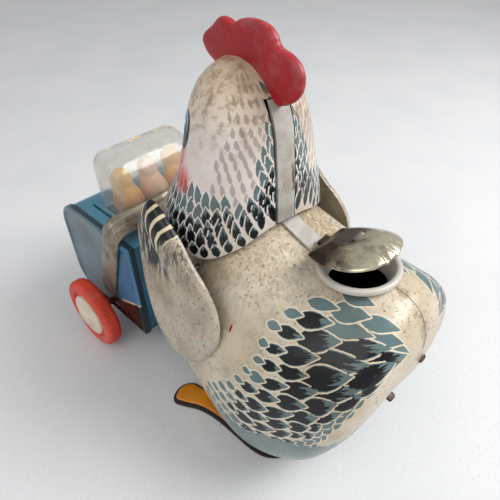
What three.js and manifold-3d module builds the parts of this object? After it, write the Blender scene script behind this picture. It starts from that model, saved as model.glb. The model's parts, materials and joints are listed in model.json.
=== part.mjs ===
// Wind-up tin hen pushing a two-wheeled cart with a clear dome of chicks.
// Millimetres. The hen faces -Y towards the cart, her left side is +X, up is +Z.
import * as THREE from "three";
import { mergeVertices } from "three/addons/utils/BufferGeometryUtils.js";
import Module from "manifold-3d";

const wasm = await Module();
wasm.setup();

// ---- driving dimensions ----
const GAP = 0.3;
const SHEET = 1.2;

const TAIL_Y = 107.8;
const BREAST_Y = -29.5;
const BODY_ANGLES = [0, 20, 45, 75, 105, 130, 150, 165, 180];
const BODY_HALF_WIDTH = [0, 20.7, 37.3, 49.1, 55.5, 49.4, 40.5, 24.6, 0];
const BODY_TOP = [62.6, 100, 120, 127, 116, 118.5, 115.5, 105.5, 86];
const BODY_BOTTOM = [62.6, 34, 14.6, 6.8, 4.4, 13.6, 47.1, 79, 86];
const BODY_WIDEST_AT = 0.39;
const BODY_UPPER_POWER = 2.08;
const BODY_LOWER_POWER = [2.2, 2.6, 2.8, 2.75, 2.4, 2.28, 2.28, 2.2, 2];

const HEAD_LEVELS = [104, 114, 118, 128, 140, 155, 168, 178, 184, 186];
const HEAD_HALF_WIDTH = [42, 41.5, 41, 38.5, 34.5, 30.5, 26, 19, 10.5, 5];
const HEAD_FRONT = [-24, -24, -23.5, -19, -15, -13, -12.5, -8, 0, 5];
const HEAD_REAR = [38.5, 38.5, 38.4, 37.8, 37, 35.6, 33.6, 28, 20, 15];
const HEAD_TOP = 186.4;
const HEM_TURNS = [0, 0.25, 0.6, 0.95, 1.3, 2.2, Math.PI];
const HEM_LEFT = [127, 125.5, 118.5, 114.2, 117.5, 118, 121];
const HEM_RIGHT = [127, 126.4, 121.6, 117.6, 118.4, 118, 121];
const STRIP_HALF = 5;
const STRIP_LOW = 127;

const HEAD_PIVOT = [0, 8, 112];
const HEAD_TURN = -8.5;
const RING_CENTRE = [0, 73, 119.3];
const RING_RADIUS = 17.2;
const RING_BORE = 12.6;
const RING_TILT = 5;
const LID_HINGE = [0, 54.6, 120.6];
const LID_TILT = 14;

const CART_FRONT = -109.2;
const CART_REAR = -36;
const CART_TOP = 88;
const CART_BOTTOM = 19;
const CART_HALF = 42;
const CART_PAN_DEPTH = 4;
const CART_ROUND = 17;
const DOME_HALF = 28;
const DOME_FRONT = -81.8;
const DOME_REAR = -54.2;
const DOME_TOP = 123.5;
const HOOP_TILT = -21;

const WHEEL_Y = -73;
const WHEEL_R = 23.4;
const WHEEL_INNER = 49.4;
const WHEEL_OUTER = 59.4;
const HUB_OUTER = 62;

const ARBOR = [12, 34];
const MIDDLE = [31.34, 26.63];
const DRIVE = [48, 11.5];
const GEAR_MODULE = 0.9;
const MAIN_TEETH = 36;
const MID_PINION_TEETH = 10;
const MID_GEAR_TEETH = 34;
const DRIVE_PINION_TEETH = 16;
const DRIVE_WHEEL_R = 11.5;
const FRAME_HALF = 15;
const PLATE_Z = 8.2;

// ---- materials ----
function paint(color, roughness, metalness) {
  return new THREE.MeshStandardMaterial({ color, roughness, metalness });
}

const CREAM = 0xc9bca6;
const group = new THREE.Group();

function add(name, geometry, color, roughness = 0.45, metalness = 0) {
  const mesh = new THREE.Mesh(geometry, paint(color, roughness, metalness));
  mesh.name = name;
  group.add(mesh);
  return mesh;
}

// ---- solids ----
function solid(geometry) {
  const bare = geometry.index ? geometry.toNonIndexed() : geometry.clone();
  bare.deleteAttribute("normal");
  bare.deleteAttribute("uv");
  const merged = mergeVertices(bare, 1e-4);
  return new wasm.Manifold(new wasm.Mesh({
    numProp: 3,
    vertProperties: new Float32Array(merged.attributes.position.array),
    triVerts: new Uint32Array(merged.index.array),
  }));
}

function shape(manifold) {
  const mesh = manifold.getMesh();
  const geometry = new THREE.BufferGeometry();
  geometry.setAttribute("position", new THREE.BufferAttribute(mesh.vertProperties, 3));
  geometry.setIndex(new THREE.BufferAttribute(mesh.triVerts, 1));
  geometry.computeVertexNormals();
  return geometry;
}

function box(x0, x1, y0, y1, z0, z1) {
  const geometry = new THREE.BoxGeometry(x1 - x0, y1 - y0, z1 - z0);
  geometry.translate((x0 + x1) / 2, (y0 + y1) / 2, (z0 + z1) / 2);
  return solid(geometry);
}

function rodX(x0, x1, y, z, radius, sides = 20) {
  const geometry = new THREE.CylinderGeometry(radius, radius, x1 - x0, sides);
  geometry.rotateZ(-Math.PI / 2);
  geometry.translate((x0 + x1) / 2, y, z);
  return solid(geometry);
}

function rodZ(x, y, z0, z1, radius, sides = 24) {
  const geometry = new THREE.CylinderGeometry(radius, radius, z1 - z0, sides);
  geometry.rotateX(Math.PI / 2);
  geometry.translate(x, y, (z0 + z1) / 2);
  return solid(geometry);
}

// Turned part about X: profile rows are [distance from axis, x].
function turnedX(profile, y, z, sides = 32) {
  const points = profile.map(([r, x]) => new THREE.Vector2(r, x));
  const geometry = new THREE.LatheGeometry(points, sides);
  geometry.rotateZ(-Math.PI / 2);
  geometry.translate(0, y, z);
  return solid(geometry);
}

function turnedZ(profile, sides = 32) {
  const points = profile.map(([r, z]) => new THREE.Vector2(r, z));
  const geometry = new THREE.LatheGeometry(points, sides);
  geometry.rotateX(Math.PI / 2);
  return solid(geometry);
}

// Flat outline given in (y, z), thickened along X from x0 to x1.
function slabX(outline, x0, x1, holes = []) {
  const drawn = outline instanceof THREE.Shape;
  const face = drawn ? outline : new THREE.Shape(outline.map(([y, z]) => new THREE.Vector2(y, z)));
  face.holes.push(...holes);
  const settings = { depth: x1 - x0, bevelEnabled: false, curveSegments: 10 };
  const geometry = new THREE.ExtrudeGeometry(face, settings);
  geometry.applyMatrix4(new THREE.Matrix4().set(0, 0, 1, x0, 1, 0, 0, 0, 0, 1, 0, 0, 0, 0, 0, 1));
  return solid(geometry);
}

// Closed skin through a stack of rings with a point at either end.
function loft(rings, first, last) {
  const count = rings[0].length;
  const position = [first, ...rings.flat(), last].flat();
  const end = rings.length * count + 1;
  const index = [];
  for (let j = 0; j < count; j += 1) {
    const k = (j + 1) % count;
    index.push(0, 1 + k, 1 + j);
    for (let i = 0; i + 1 < rings.length; i += 1) {
      const a = 1 + i * count;
      const b = a + count;
      index.push(a + j, a + k, b + k, a + j, b + k, b + j);
    }
    const c = 1 + (rings.length - 1) * count;
    index.push(end, c + j, c + k);
  }
  const geometry = new THREE.BufferGeometry();
  geometry.setAttribute("position", new THREE.BufferAttribute(new Float32Array(position), 3));
  geometry.setIndex(index);
  const body = solid(geometry);
  if (body.volume() > 0) {
    return body;
  }
  const flipped = index.slice();
  for (let i = 0; i < flipped.length; i += 3) {
    [flipped[i], flipped[i + 1]] = [flipped[i + 1], flipped[i]];
  }
  geometry.setIndex(flipped);
  return solid(geometry);
}

// Smooth value between listed stations.
function smooth(stations, values, at) {
  const last = stations.length - 1;
  let i = 0;
  while (i < last - 1 && at > stations[i + 1]) {
    i += 1;
  }
  const slope = (k) => {
    const lo = Math.max(0, k - 1);
    const hi = Math.min(last, k + 1);
    return (values[hi] - values[lo]) / (stations[hi] - stations[lo]);
  };
  const width = stations[i + 1] - stations[i];
  const t = Math.min(1, Math.max(0, (at - stations[i]) / width));
  const a = (1 + 2 * t) * (1 - t) * (1 - t);
  const b = t * (1 - t) * (1 - t) * width;
  const c = t * t * (3 - 2 * t);
  const d = -t * t * (1 - t) * width;
  return a * values[i] + b * slope(i) + c * values[i + 1] + d * slope(i + 1);
}

function span(side, near, far) {
  return side > 0 ? [near, far] : [-far, -near];
}

function power(value, n) {
  return Math.sign(value) * Math.abs(value) ** (2 / n);
}

// ---- hen's body ----
function bodySection(degrees) {
  const half = (TAIL_Y - BREAST_Y) / 2;
  const y = (TAIL_Y + BREAST_Y) / 2 - half * Math.cos(THREE.MathUtils.degToRad(degrees));
  const w = smooth(BODY_ANGLES, BODY_HALF_WIDTH, degrees);
  const top = smooth(BODY_ANGLES, BODY_TOP, degrees);
  const low = smooth(BODY_ANGLES, BODY_BOTTOM, degrees);
  const lower = smooth(BODY_ANGLES, BODY_LOWER_POWER, degrees);
  return { y, w, top, low, lower, mid: low + (top - low) * BODY_WIDEST_AT };
}

function bodySolid(inset, steps = 20, around = 28) {
  const rings = [];
  for (let i = 1; i < steps; i += 1) {
    const s = bodySection((180 * i) / steps);
    const ring = [];
    for (let j = 0; j < around; j += 1) {
      const turn = (2 * Math.PI * j) / around;
      const c = Math.cos(turn);
      const n = c > 0 ? BODY_UPPER_POWER : s.lower;
      const reach = c > 0 ? s.top - s.mid : s.mid - s.low;
      ring.push([s.w * power(Math.sin(turn), n), s.y, s.mid + reach * power(c, n)]);
    }
    rings.push(ring);
  }
  const front = [0, BREAST_Y, BODY_TOP[0]];
  const rear = [0, TAIL_Y, BODY_TOP[8]];
  return offset(loft(rings, front, rear), inset);
}

// Every vertex moved inwards along its own normal.
function offset(body, distance) {
  if (!distance) {
    return body;
  }
  const geometry = shape(body);
  const p = geometry.attributes.position;
  const n = geometry.attributes.normal;
  for (let i = 0; i < p.count; i += 1) {
    const x = p.getX(i) - n.getX(i) * distance;
    const y = p.getY(i) - n.getY(i) * distance;
    const z = p.getZ(i) - n.getZ(i) * distance;
    p.setXYZ(i, x, y, z);
  }
  return solid(geometry);
}

function backHeight(y) {
  const half = (TAIL_Y - BREAST_Y) / 2;
  const turn = Math.acos(THREE.MathUtils.clamp(((TAIL_Y + BREAST_Y) / 2 - y) / half, -1, 1));
  return smooth(BODY_ANGLES, BODY_TOP, THREE.MathUtils.radToDeg(turn));
}

// ---- hen's head ----
function hemLevel(turn) {
  // The hem dips behind each shoulder and rises to the strip at the nape.
  const away = Math.abs(Math.atan2(Math.sin(turn), Math.cos(turn)));
  return smooth(HEM_TURNS, Math.sin(turn) > 0 ? HEM_LEFT : HEM_RIGHT, away);
}

function headSolid(inset, drop = 0, steps = 13, around = 28) {
  const rings = [];
  for (let i = 0; i < steps; i += 1) {
    const t = Math.sin((Math.PI / 2) * (i / steps)) ** 1.15;
    const ring = [];
    for (let j = 0; j < around; j += 1) {
      const turn = (2 * Math.PI * (j + 0.5)) / around;
      const hem = hemLevel(turn) - (i === 0 ? drop : 0);
      const z = hem + (HEAD_TOP - hem) * t;
      const w = smooth(HEAD_LEVELS, HEAD_HALF_WIDTH, z);
      const front = smooth(HEAD_LEVELS, HEAD_FRONT, z);
      const rear = smooth(HEAD_LEVELS, HEAD_REAR, z);
      const y = (front + rear) / 2 + ((rear - front) / 2) * Math.cos(turn);
      ring.push([w * Math.sin(turn), y, z]);
    }
    rings.push(ring);
  }
  const base = [0, 7, 118 - drop];
  const crown = [0, 10, HEAD_TOP];
  return offset(loft(rings, base, crown), inset);
}

// The head sits on the body turned a little about the upright line through its pivot.
function headTurned(body) {
  const [, y] = HEAD_PIVOT;
  return body.translate([0, -y, 0]).rotate([0, 0, HEAD_TURN]).translate([0, y, 0]);
}

const headOuter = headSolid(0);
const headShell = headOuter.subtract(headSolid(SHEET, 9));
const nape = box(-STRIP_HALF - GAP, STRIP_HALF + GAP, 6, 60, 100, 200);
const postHole = rodZ(0, 8, 96, 140, 13, 28);

function headHalf(side) {
  const room = side > 0 ? box(GAP / 2, 80, -60, 80, 90, 200) : box(-80, -GAP / 2, -60, 80, 90, 200);
  return headTurned(headShell.intersect(room).subtract(nape));
}

const COMB_OUTLINE = [
  [-14.8, 187.6], [-12.6, 184.4], [-8, 181], [-2, 180], [12, 180], [23, 177.4], [31, 175.8],
  [37, 178], [40.2, 182.6], [40.7, 187.2], [38.8, 190.6], [35.2, 192.3], [30.6, 192.9], [28.2, 194.2],
  [27, 196.6], [23.6, 199.2], [18.6, 200.4], [12.4, 200.1], [7.2, 198.8], [2.6, 196.9], [-2.4, 197.7],
  [-6.6, 197.1], [-10.4, 194.6], [-12.6, 190.6],
];

function combSolid() {
  const rim = smoothOutline(COMB_OUTLINE, 44).map(([y, z]) => new THREE.Vector2(y, z));
  const geometry = new THREE.ExtrudeGeometry(new THREE.Shape(rim), {
    depth: 2,
    bevelThickness: 1.6,
    bevelSize: 1.5,
    bevelOffset: -1.5,
    bevelSegments: 2,
  });
  geometry.applyMatrix4(new THREE.Matrix4().set(0, 0, 1, -1, 1, 0, 0, 0, 0, 1, 0, 0, 0, 0, 0, 1));
  return solid(geometry).subtract(headSolid(-GAP));
}

// ---- domed stampings ----
// Rows of outline points pulled towards a centre while the surface rises by height.
function stamping(outline, centre, height, steps, raise, place) {
  const rings = [];
  for (let i = 0; i < steps; i += 1) {
    const s = Math.cos((Math.PI / 2) * (i / steps));
    rings.push(outline.map(([u, v]) => {
      return place(centre[0] + (u - centre[0]) * s, centre[1] + (v - centre[1]) * s, height * raise(s));
    }));
  }
  return loft(rings, place(centre[0], centre[1], 0), place(centre[0], centre[1], height * raise(0)));
}

function shrink(outline, centre, amount) {
  return outline.map(([u, v]) => {
    const far = Math.hypot(u - centre[0], v - centre[1]);
    return [u + ((centre[0] - u) * amount) / far, v + ((centre[1] - v) * amount) / far];
  });
}

function smoothOutline(points, count) {
  const curve = new THREE.SplineCurve([...points, points[0]].map(([u, v]) => new THREE.Vector2(u, v)));
  return curve.getPoints(count).slice(0, -1).map((p) => [p.x, p.y]);
}

const WING_OUTLINE = smoothOutline([
  [-3.5, 136.6], [-8.7, 131], [-11.2, 124], [-11.4, 115], [-10.4, 104], [-7.6, 89], [0, 70.5],
  [12, 60.5], [24, 61.5], [33, 70], [39.4, 82], [40.4, 93], [38, 102], [31.6, 110.5], [23.5, 117],
  [16.3, 124.5], [9, 130.3], [1.4, 135.4],
], 28);
const WING_CENTRE = [17, 94];
const WING_PIVOT = [13.3, 104];

function wingFace(z) {
  return 51.4 - 0.119 * (z - 60);
}

function wingSolid(side) {
  const place = (y, z, h) => [side * (wingFace(z) + h), y, z];
  const raise = (s) => 0.32 + 0.68 * (1 - s ** 2.6) ** 0.75;
  const outer = stamping(WING_OUTLINE, WING_CENTRE, 4.6, 5, raise, place);
  const within = shrink(WING_OUTLINE, WING_CENTRE, SHEET);
  const lower = (y, z, h) => [side * (wingFace(z) + h - SHEET), y, z];
  const inner = stamping(within, WING_CENTRE, 4.6, 5, raise, lower);
  const under = (y, z, h) => [side * (wingFace(z) - 1 + h * 3), y, z];
  const back = stamping(within, WING_CENTRE, 0.6, 2, () => 1, under);
  const far = wingFace(WING_PIVOT[1]) + 4;
  const boss = rodX(...span(side, far - 5, far - 0.6), ...WING_PIVOT, 3.2);
  const bore = rodX(...span(side, far - 8, far - 1.9), ...WING_PIVOT, 1.58);
  return outer.subtract(inner).subtract(back).add(boss).subtract(bore);
}

function wingPin(side) {
  return rodX(...span(side, 30, wingFace(WING_PIVOT[1]) + 1.6), ...WING_PIVOT, 1.5);
}

// ---- body pieces ----
const ringTurn = new THREE.Matrix4().makeRotationX(THREE.MathUtils.degToRad(RING_TILT));
ringTurn.setPosition(...RING_CENTRE);

function tilted(profile, sides = 28) {
  const geometry = shape(turnedZ(profile, sides));
  geometry.applyMatrix4(ringTurn);
  return solid(geometry);
}

const ring = tilted([
  [RING_BORE, -9], [14, -9], [14, -1.6], [RING_RADIUS, -1.6], [RING_RADIUS, 0.3],
  [RING_RADIUS - 0.8, 1.1], [RING_BORE + 0.6, 1.1], [RING_BORE, 0.4], [RING_BORE, -9],
]);
const ringSeat = tilted([[0, -10], [14.3, -10], [14.3, -1.9], [17.5, -1.9], [17.5, 30], [0, 30], [0, -10]]);

const bodyOuter = bodySolid(0);
const openBottom = box(-26.3, 26.3, -4.3, 66.3, 0, 14);
const keyHole = rodX(-80, -20, ARBOR[0], ARBOR[1], 3.2, 20);
const bodyShell = bodyOuter
  .subtract(bodySolid(SHEET))
  .subtract(ringSeat)
  .subtract(openBottom)
  .subtract(postHole);

function bodyHalf(side) {
  const room = side > 0 ? box(GAP / 2, 80, -60, 120, 0, 140) : box(-80, -GAP / 2, -60, 120, 0, 140);
  const pinHole = rodX(...span(side, 20, 60), ...WING_PIVOT, 1.5 + GAP);
  const half = bodyShell.intersect(room).subtract(pinHole);
  return side > 0 ? half : half.subtract(keyHole);
}

add("body_shell_left", shape(bodyHalf(1)), CREAM, 0.4);
add("body_shell_right", shape(bodyHalf(-1)), CREAM, 0.4);

function backStrip() {
  const count = 8;
  const upper = [];
  const lower = [];
  for (let i = 0; i <= count; i += 1) {
    const y = 24 + ((53.6 - 24) * i) / count;
    upper.push([y, backHeight(y) + 1.3]);
    lower.unshift([y, backHeight(y) - 6]);
  }
  const blank = slabX([...upper, ...lower], -STRIP_HALF, STRIP_HALF);
  return blank.subtract(bodySolid(-GAP)).subtract(ringSeat).subtract(postHole);
}

add("back_strip", shape(backStrip()), 0x9d998f, 0.4, 0.5);
add("opening_ring", shape(ring), 0xd9d6cc, 0.35);

function lug(z, y, angle) {
  const geometry = new THREE.BoxGeometry(5, 3.4, 1.4);
  geometry.rotateX(angle);
  geometry.translate(0, y, z);
  return solid(geometry).subtract(bodySolid(-GAP));
}

add("seam_lug_upper", shape(lug(90, 107.45, 0.1)), 0x8a6a4c, 0.6, 0.6);
add("seam_lug_lower", shape(lug(55, 101.9, -0.3)), 0x8a6a4c, 0.6, 0.6);

// ---- lid over the opening ----
const LID_OUTLINE = smoothOutline([
  [0, -17.2], [-6, -17.2], [-10.6, -17], [-12, -15.8], [-14.8, -9], [-16.2, -1], [-15.2, 7], [-10, 13.2],
  [0, 15.8], [10, 13.2], [15.2, 7], [16.2, -1], [14.8, -9], [12, -15.8], [10.6, -17], [6, -17.2],
], 32);

function lidPlace(u, v, h) {
  const lean = THREE.MathUtils.degToRad(LID_TILT + RING_TILT);
  const along = v + 18.4;
  const y = LID_HINGE[1] + along * Math.cos(lean) - (h + 0.3) * Math.sin(lean);
  const z = LID_HINGE[2] + along * Math.sin(lean) + (h + 0.3) * Math.cos(lean);
  return [u, y, z];
}

function lidSolid() {
  const raise = (s) => 0.2 + 0.8 * (1 - s * s) ** 0.8;
  const outer = stamping(LID_OUTLINE, [0, 1], 6.6, 5, raise, lidPlace);
  const within = shrink(LID_OUTLINE, [0, 1], 1);
  const inner = stamping(within, [0, 1], 6.6, 5, raise, (u, v, h) => lidPlace(u, v, h - 1));
  const below = stamping(within, [0, 1], 1, 2, () => 1, (u, v, h) => lidPlace(u, v, h * 2.2 - 1.6));
  return outer.subtract(inner).subtract(below);
}

function lidWithKnuckle() {
  const knuckle = rodX(-3, 3, LID_HINGE[1], LID_HINGE[2], 1.4, 12);
  const tongue = box(-3, 3, LID_HINGE[1] - 0.6, LID_HINGE[1] + 3, LID_HINGE[2] + 0.9, LID_HINGE[2] + 2.6);
  const bore = rodX(-9, 9, LID_HINGE[1], LID_HINGE[2], 0.7, 12);
  return lidSolid().add(knuckle).add(tongue).subtract(bore);
}

add("lid", shape(lidWithKnuckle()), 0xb9b09a, 0.25, 1);

function lidBracket() {
  const ears = [];
  for (const side of [-1, 1]) {
    const x = side > 0 ? 3.3 : -4.5;
    ears.push(box(x, x + 1.2, LID_HINGE[1] - 1.4, LID_HINGE[1] + 0.9, LID_HINGE[2] - 4, LID_HINGE[2] + 1.4));
  }
  const foot = box(-4.5, 4.5, LID_HINGE[1] - 4.6, LID_HINGE[1] - 0.4, LID_HINGE[2] - 3.4, LID_HINGE[2] - 2.1);
  const pin = rodX(-5, 5, LID_HINGE[1], LID_HINGE[2], 0.6, 12);
  return foot.add(ears[0]).add(ears[1]).add(pin);
}

const bracketRoom = bodySolid(-GAP).add(offset(backStrip(), -0.25)).add(ringSeat);
add("lid_hinge", shape(lidBracket().subtract(bracketRoom)), 0x8f8d86, 0.35, 0.9);

// ---- head ----
add("head_shell_left", shape(headHalf(1)), 0xd6ccc4, 0.4);
add("head_shell_right", shape(headHalf(-1)), 0xd6ccc4, 0.4);

const stripRoom = box(-STRIP_HALF, STRIP_HALF, 6.3, 60, STRIP_LOW, 200);
const strip = headSolid(0.35).subtract(headSolid(1.55, 9)).intersect(stripRoom);
add("neck_strip", shape(headTurned(strip)), 0xa9a59c, 0.4, 0.4);
add("comb", shape(headTurned(combSolid())), 0xc01526, 0.35);

function beakSolid() {
  const rings = [];
  for (let i = 0; i < 6; i += 1) {
    const t = i / 6;
    const r = 6.4 * (1 - t) ** 0.8;
    const ring = [];
    for (let j = 0; j < 16; j += 1) {
      const turn = (2 * Math.PI * j) / 16;
      ring.push([r * 0.85 * Math.cos(turn), -6 - 22 * t, 152 - 5 * t * t + r * 0.8 * Math.sin(turn)]);
    }
    rings.push(ring);
  }
  return loft(rings, [0, -6, 152], [0, -28.5, 146.6]);
}

add("beak", shape(headTurned(beakSolid().subtract(headSolid(-GAP)))), 0xd89a24, 0.35);

function wattleSolid() {
  const drop = new THREE.SphereGeometry(1, 10, 8);
  drop.scale(3.4, 3, 7);
  drop.translate(3, -17.6, 138.6);
  const twin = new THREE.SphereGeometry(1, 10, 8);
  twin.scale(3.4, 3, 7);
  twin.translate(-3, -17.6, 138.6);
  const pair = solid(drop).add(solid(twin));
  return pair.subtract(headSolid(-GAP)).subtract(offset(beakSolid(), -GAP));
}

add("wattle", shape(headTurned(wattleSolid())), 0xb8202a, 0.35);

// Pivot block and post that carry the head, with a bar across inside both halves.
function headPost() {
  const stem = box(-3, 3, 5, 11, 108, 150);
  const bar = box(-33, 33, 4.5, 11.5, 150, 152).intersect(headTurned(headSolid(SHEET + GAP, 9)));
  const eye = rodX(-3, 3, HEAD_PIVOT[1], HEAD_PIVOT[2], 5, 20);
  const tail = slabX([[6, 110], [10, 110], [29.5, 64], [27.5, 60.6], [24.5, 60.6]], -1.2, 1.2);
  const bore = rodX(-5, 5, HEAD_PIVOT[1], HEAD_PIVOT[2], 1.58, 20);
  return stem.add(bar).add(eye).add(tail).subtract(bore);
}

add("head_post", shape(headPost()), 0x8d8f92, 0.4, 0.9);

function headYoke() {
  let yoke = box(-FRAME_HALF - 1.2, FRAME_HALF + 1.2, 2, 14, 57.3, 58.5);
  for (const side of [-1, 1]) {
    yoke = yoke.add(box(...span(side, 3.4, 4.6), 2, 14, 57.3, 116));
  }
  return yoke.subtract(rodX(-9, 9, HEAD_PIVOT[1], HEAD_PIVOT[2], 1.5 + GAP));
}

const pivotPin = rodX(-5.6, 5.6, HEAD_PIVOT[1], HEAD_PIVOT[2], 1.5);
add("head_yoke", shape(headYoke()), 0x8d8f92, 0.4, 0.9);
add("head_pivot_pin", shape(pivotPin), 0xb0aca4, 0.35, 1);

// ---- wings and feet ----
add("wing_left", shape(wingSolid(1)), CREAM, 0.4);
add("wing_right", shape(wingSolid(-1)), CREAM, 0.4);
add("wing_pin_left", shape(wingPin(1)), 0xa7a9ab, 0.35, 1);
add("wing_pin_right", shape(wingPin(-1)), 0xa7a9ab, 0.35, 1);

const FOOT_OUTLINE = smoothOutline([
  [37, 1.5], [41, -2], [46, -3], [51.5, -1], [53.6, 3], [51, 9], [46.8, 17], [44.4, 28], [43.8, 42],
  [43.4, 54], [41, 63], [35, 69.5], [31.6, 68], [30.4, 58], [31, 40], [33.4, 20],
], 30);

function footPlate(side, inset, z0, z1) {
  const centre = [40.5, 28];
  const rim = inset ? shrink(FOOT_OUTLINE, centre, inset) : FOOT_OUTLINE;
  const face = new THREE.Shape(rim.map(([x, y]) => new THREE.Vector2(side * x, y)));
  const geometry = new THREE.ExtrudeGeometry(face, { depth: z1 - z0, bevelEnabled: false });
  geometry.translate(0, 0, z0);
  return solid(geometry);
}

function footBase(side) {
  const lane = side > 0 ? [14, 42] : [-42, -14];
  const plate = footPlate(side, 0, 0, 1.6);
  const arm = box(lane[0], lane[1], 22, 36, 0, 1.6);
  const post = side > 0 ? box(14, 15.6, 22, 36, 0, 7.9) : box(-15.6, -14, 22, 36, 0, 7.9);
  return plate.add(arm).add(post);
}

for (const [word, side] of [["left", 1], ["right", -1]]) {
  add(`foot_base_${word}`, shape(footBase(side)), 0x1c1a19, 0.5);
  add(`foot_${word}`, shape(footPlate(side, 1.8, 1.9, 3.6)), 0xc8841c, 0.4);
}

// ---- base plate and clockwork ----
function basePlate() {
  let plate = box(-26, 26, -4, 66, PLATE_Z, PLATE_Z + SHEET);
  for (const x of [-21.5, 21.5]) {
    plate = plate.subtract(box(x - 4.2, x + 4.2, DRIVE[0] - 13, DRIVE[0] + 13, 5, 20));
  }
  return plate.subtract(box(-9.5, 9.5, DRIVE[0] - 20, DRIVE[0] + 9, 5, 20));
}

add("base_plate", shape(basePlate()), 0x77797c, 0.45, 0.9);

const FRAME_OUTLINE = [
  [-3, 20], [3, 15], [3, PLATE_Z + SHEET + GAP], [62, PLATE_Z + SHEET + GAP], [62, 20], [50, 33], [34, 46],
  [26, 57], [-3, 57],
];

function motorFrame(x0) {
  let frame = slabX(FRAME_OUTLINE, x0, x0 + 1.2);
  frame = frame.subtract(rodX(x0 - 1, x0 + 3, ARBOR[0], ARBOR[1], 2.08, 20));
  frame = frame.subtract(rodX(x0 - 1, x0 + 3, MIDDLE[0], MIDDLE[1], 1.28, 20));
  frame = frame.subtract(box(x0 - 1, x0 + 3, DRIVE[0] - 1.9, DRIVE[0] + 1.9, 5, 13.6));
  return frame;
}

add("motor_frame_left", shape(motorFrame(FRAME_HALF)), 0xb5ab8c, 0.35, 1);
add("motor_frame_right", shape(motorFrame(-FRAME_HALF - 1.2)), 0xb5ab8c, 0.35, 1);

for (const [name, y, z] of [["spacer_front", 1, 52], ["spacer_top", 22, 52], ["spacer_rear", 57.5, 18.5]]) {
  add(name, shape(rodX(-FRAME_HALF + GAP, FRAME_HALF - GAP, y, z, 1.8, 16)), 0x9a9c9e, 0.35, 1);
}

// Toothed wheel about X.
function gear(teeth, x0, x1, y, z, bore, turn = 0) {
  const pitch = (GEAR_MODULE * teeth) / 2;
  const outer = pitch + GEAR_MODULE * 0.8;
  const root = pitch - GEAR_MODULE * 1.15;
  const points = [];
  for (let i = 0; i < teeth; i += 1) {
    const a = (2 * Math.PI * (i + turn)) / teeth;
    const step = (2 * Math.PI) / teeth;
    for (const [part, r] of [[-0.3, root], [-0.13, outer], [0.13, outer], [0.3, root]]) {
      points.push([y + r * Math.cos(a + part * step), z + r * Math.sin(a + part * step)]);
    }
  }
  return slabX(points, x0, x1).subtract(rodX(x0 - 1, x1 + 1, y, z, bore, 20));
}

function lineAngle(from, to) {
  return Math.atan2(to[1] - from[1], to[0] - from[0]);
}

// Tooth of one wheel faces a gap of the other along the line of centres.
function meshTurn(teeth, angle, gapFaces) {
  const pitches = (angle * teeth) / (2 * Math.PI);
  return gapFaces ? pitches + 0.5 : pitches;
}

const firstLine = lineAngle(ARBOR, MIDDLE);
const secondLine = lineAngle(MIDDLE, DRIVE);
const mainTurn = meshTurn(MAIN_TEETH, firstLine, false);
const pinionTurn = meshTurn(MID_PINION_TEETH, firstLine + Math.PI, true);
const gearTurn = meshTurn(MID_GEAR_TEETH, secondLine, false);
const driveTurn = meshTurn(DRIVE_PINION_TEETH, secondLine + Math.PI, true);

add("arbor", shape(rodX(-49.3, FRAME_HALF + 2.4, ...ARBOR, 2, 20)), 0xa7a9ab, 0.3, 1);

function keySolid() {
  const collar = rodX(-51.5, -47.5, ...ARBOR, 3, 20);
  const neck = box(-54.5, -51, ARBOR[0] - 3, ARBOR[0] + 3, ARBOR[1] - 0.8, ARBOR[1] + 0.8);
  let plate = neck;
  for (const side of [-1, 1]) {
    const y = ARBOR[0] + side * 5.6;
    plate = plate.add(rodZ(-56, y, ARBOR[1] - 0.8, ARBOR[1] + 0.8, 6, 14));
    plate = plate.subtract(rodZ(-56.4, y + side * 0.4, ARBOR[1] - 2, ARBOR[1] + 2, 2.5, 10));
  }
  const socket = rodX(-49.4, -40, ...ARBOR, 2.02, 20);
  return collar.add(plate).subtract(socket);
}

add("winding_key", shape(keySolid()), 0x9c9d9f, 0.3, 1);

const mainGear = gear(MAIN_TEETH, 8, 9.6, ...ARBOR, 2.08, mainTurn);
add("main_gear", shape(mainGear), 0xb08d3c, 0.3, 1);

function mainspring() {
  const turns = 4;
  const steps = 44;
  const outer = [];
  const inner = [];
  for (let i = 0; i <= steps; i += 1) {
    const a = (2 * Math.PI * turns * i) / steps;
    const r = 4.2 + (9.6 * i) / steps;
    outer.push([ARBOR[0] + (r + 0.3) * Math.cos(a), ARBOR[1] + (r + 0.3) * Math.sin(a)]);
    inner.unshift([ARBOR[0] + (r - 0.3) * Math.cos(a), ARBOR[1] + (r - 0.3) * Math.sin(a)]);
  }
  return slabX([...outer, ...inner], -5, 6.5);
}

add("mainspring", shape(mainspring()), 0x55585c, 0.3, 1);

add("middle_shaft", shape(rodX(-FRAME_HALF - 2, FRAME_HALF + 2, ...MIDDLE, 1.2, 20)), 0xa7a9ab, 0.3, 1);
const midPinion = gear(MID_PINION_TEETH, 7.4, 10.2, ...MIDDLE, 1.5, pinionTurn);
add("middle_pinion", shape(midPinion), 0xb08d3c, 0.3, 1);
const midGear = gear(MID_GEAR_TEETH, -8.4, -6.8, ...MIDDLE, 1.5, gearTurn);
add("middle_gear", shape(midGear), 0xb08d3c, 0.3, 1);

add("drive_axle", shape(rodX(-27, 27, ...DRIVE, 1.6, 20)), 0xa7a9ab, 0.3, 1);
const drivePinion = gear(DRIVE_PINION_TEETH, -9, -6.2, ...DRIVE, 1.9, driveTurn);
add("drive_pinion", shape(drivePinion), 0xb08d3c, 0.3, 1);

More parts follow.
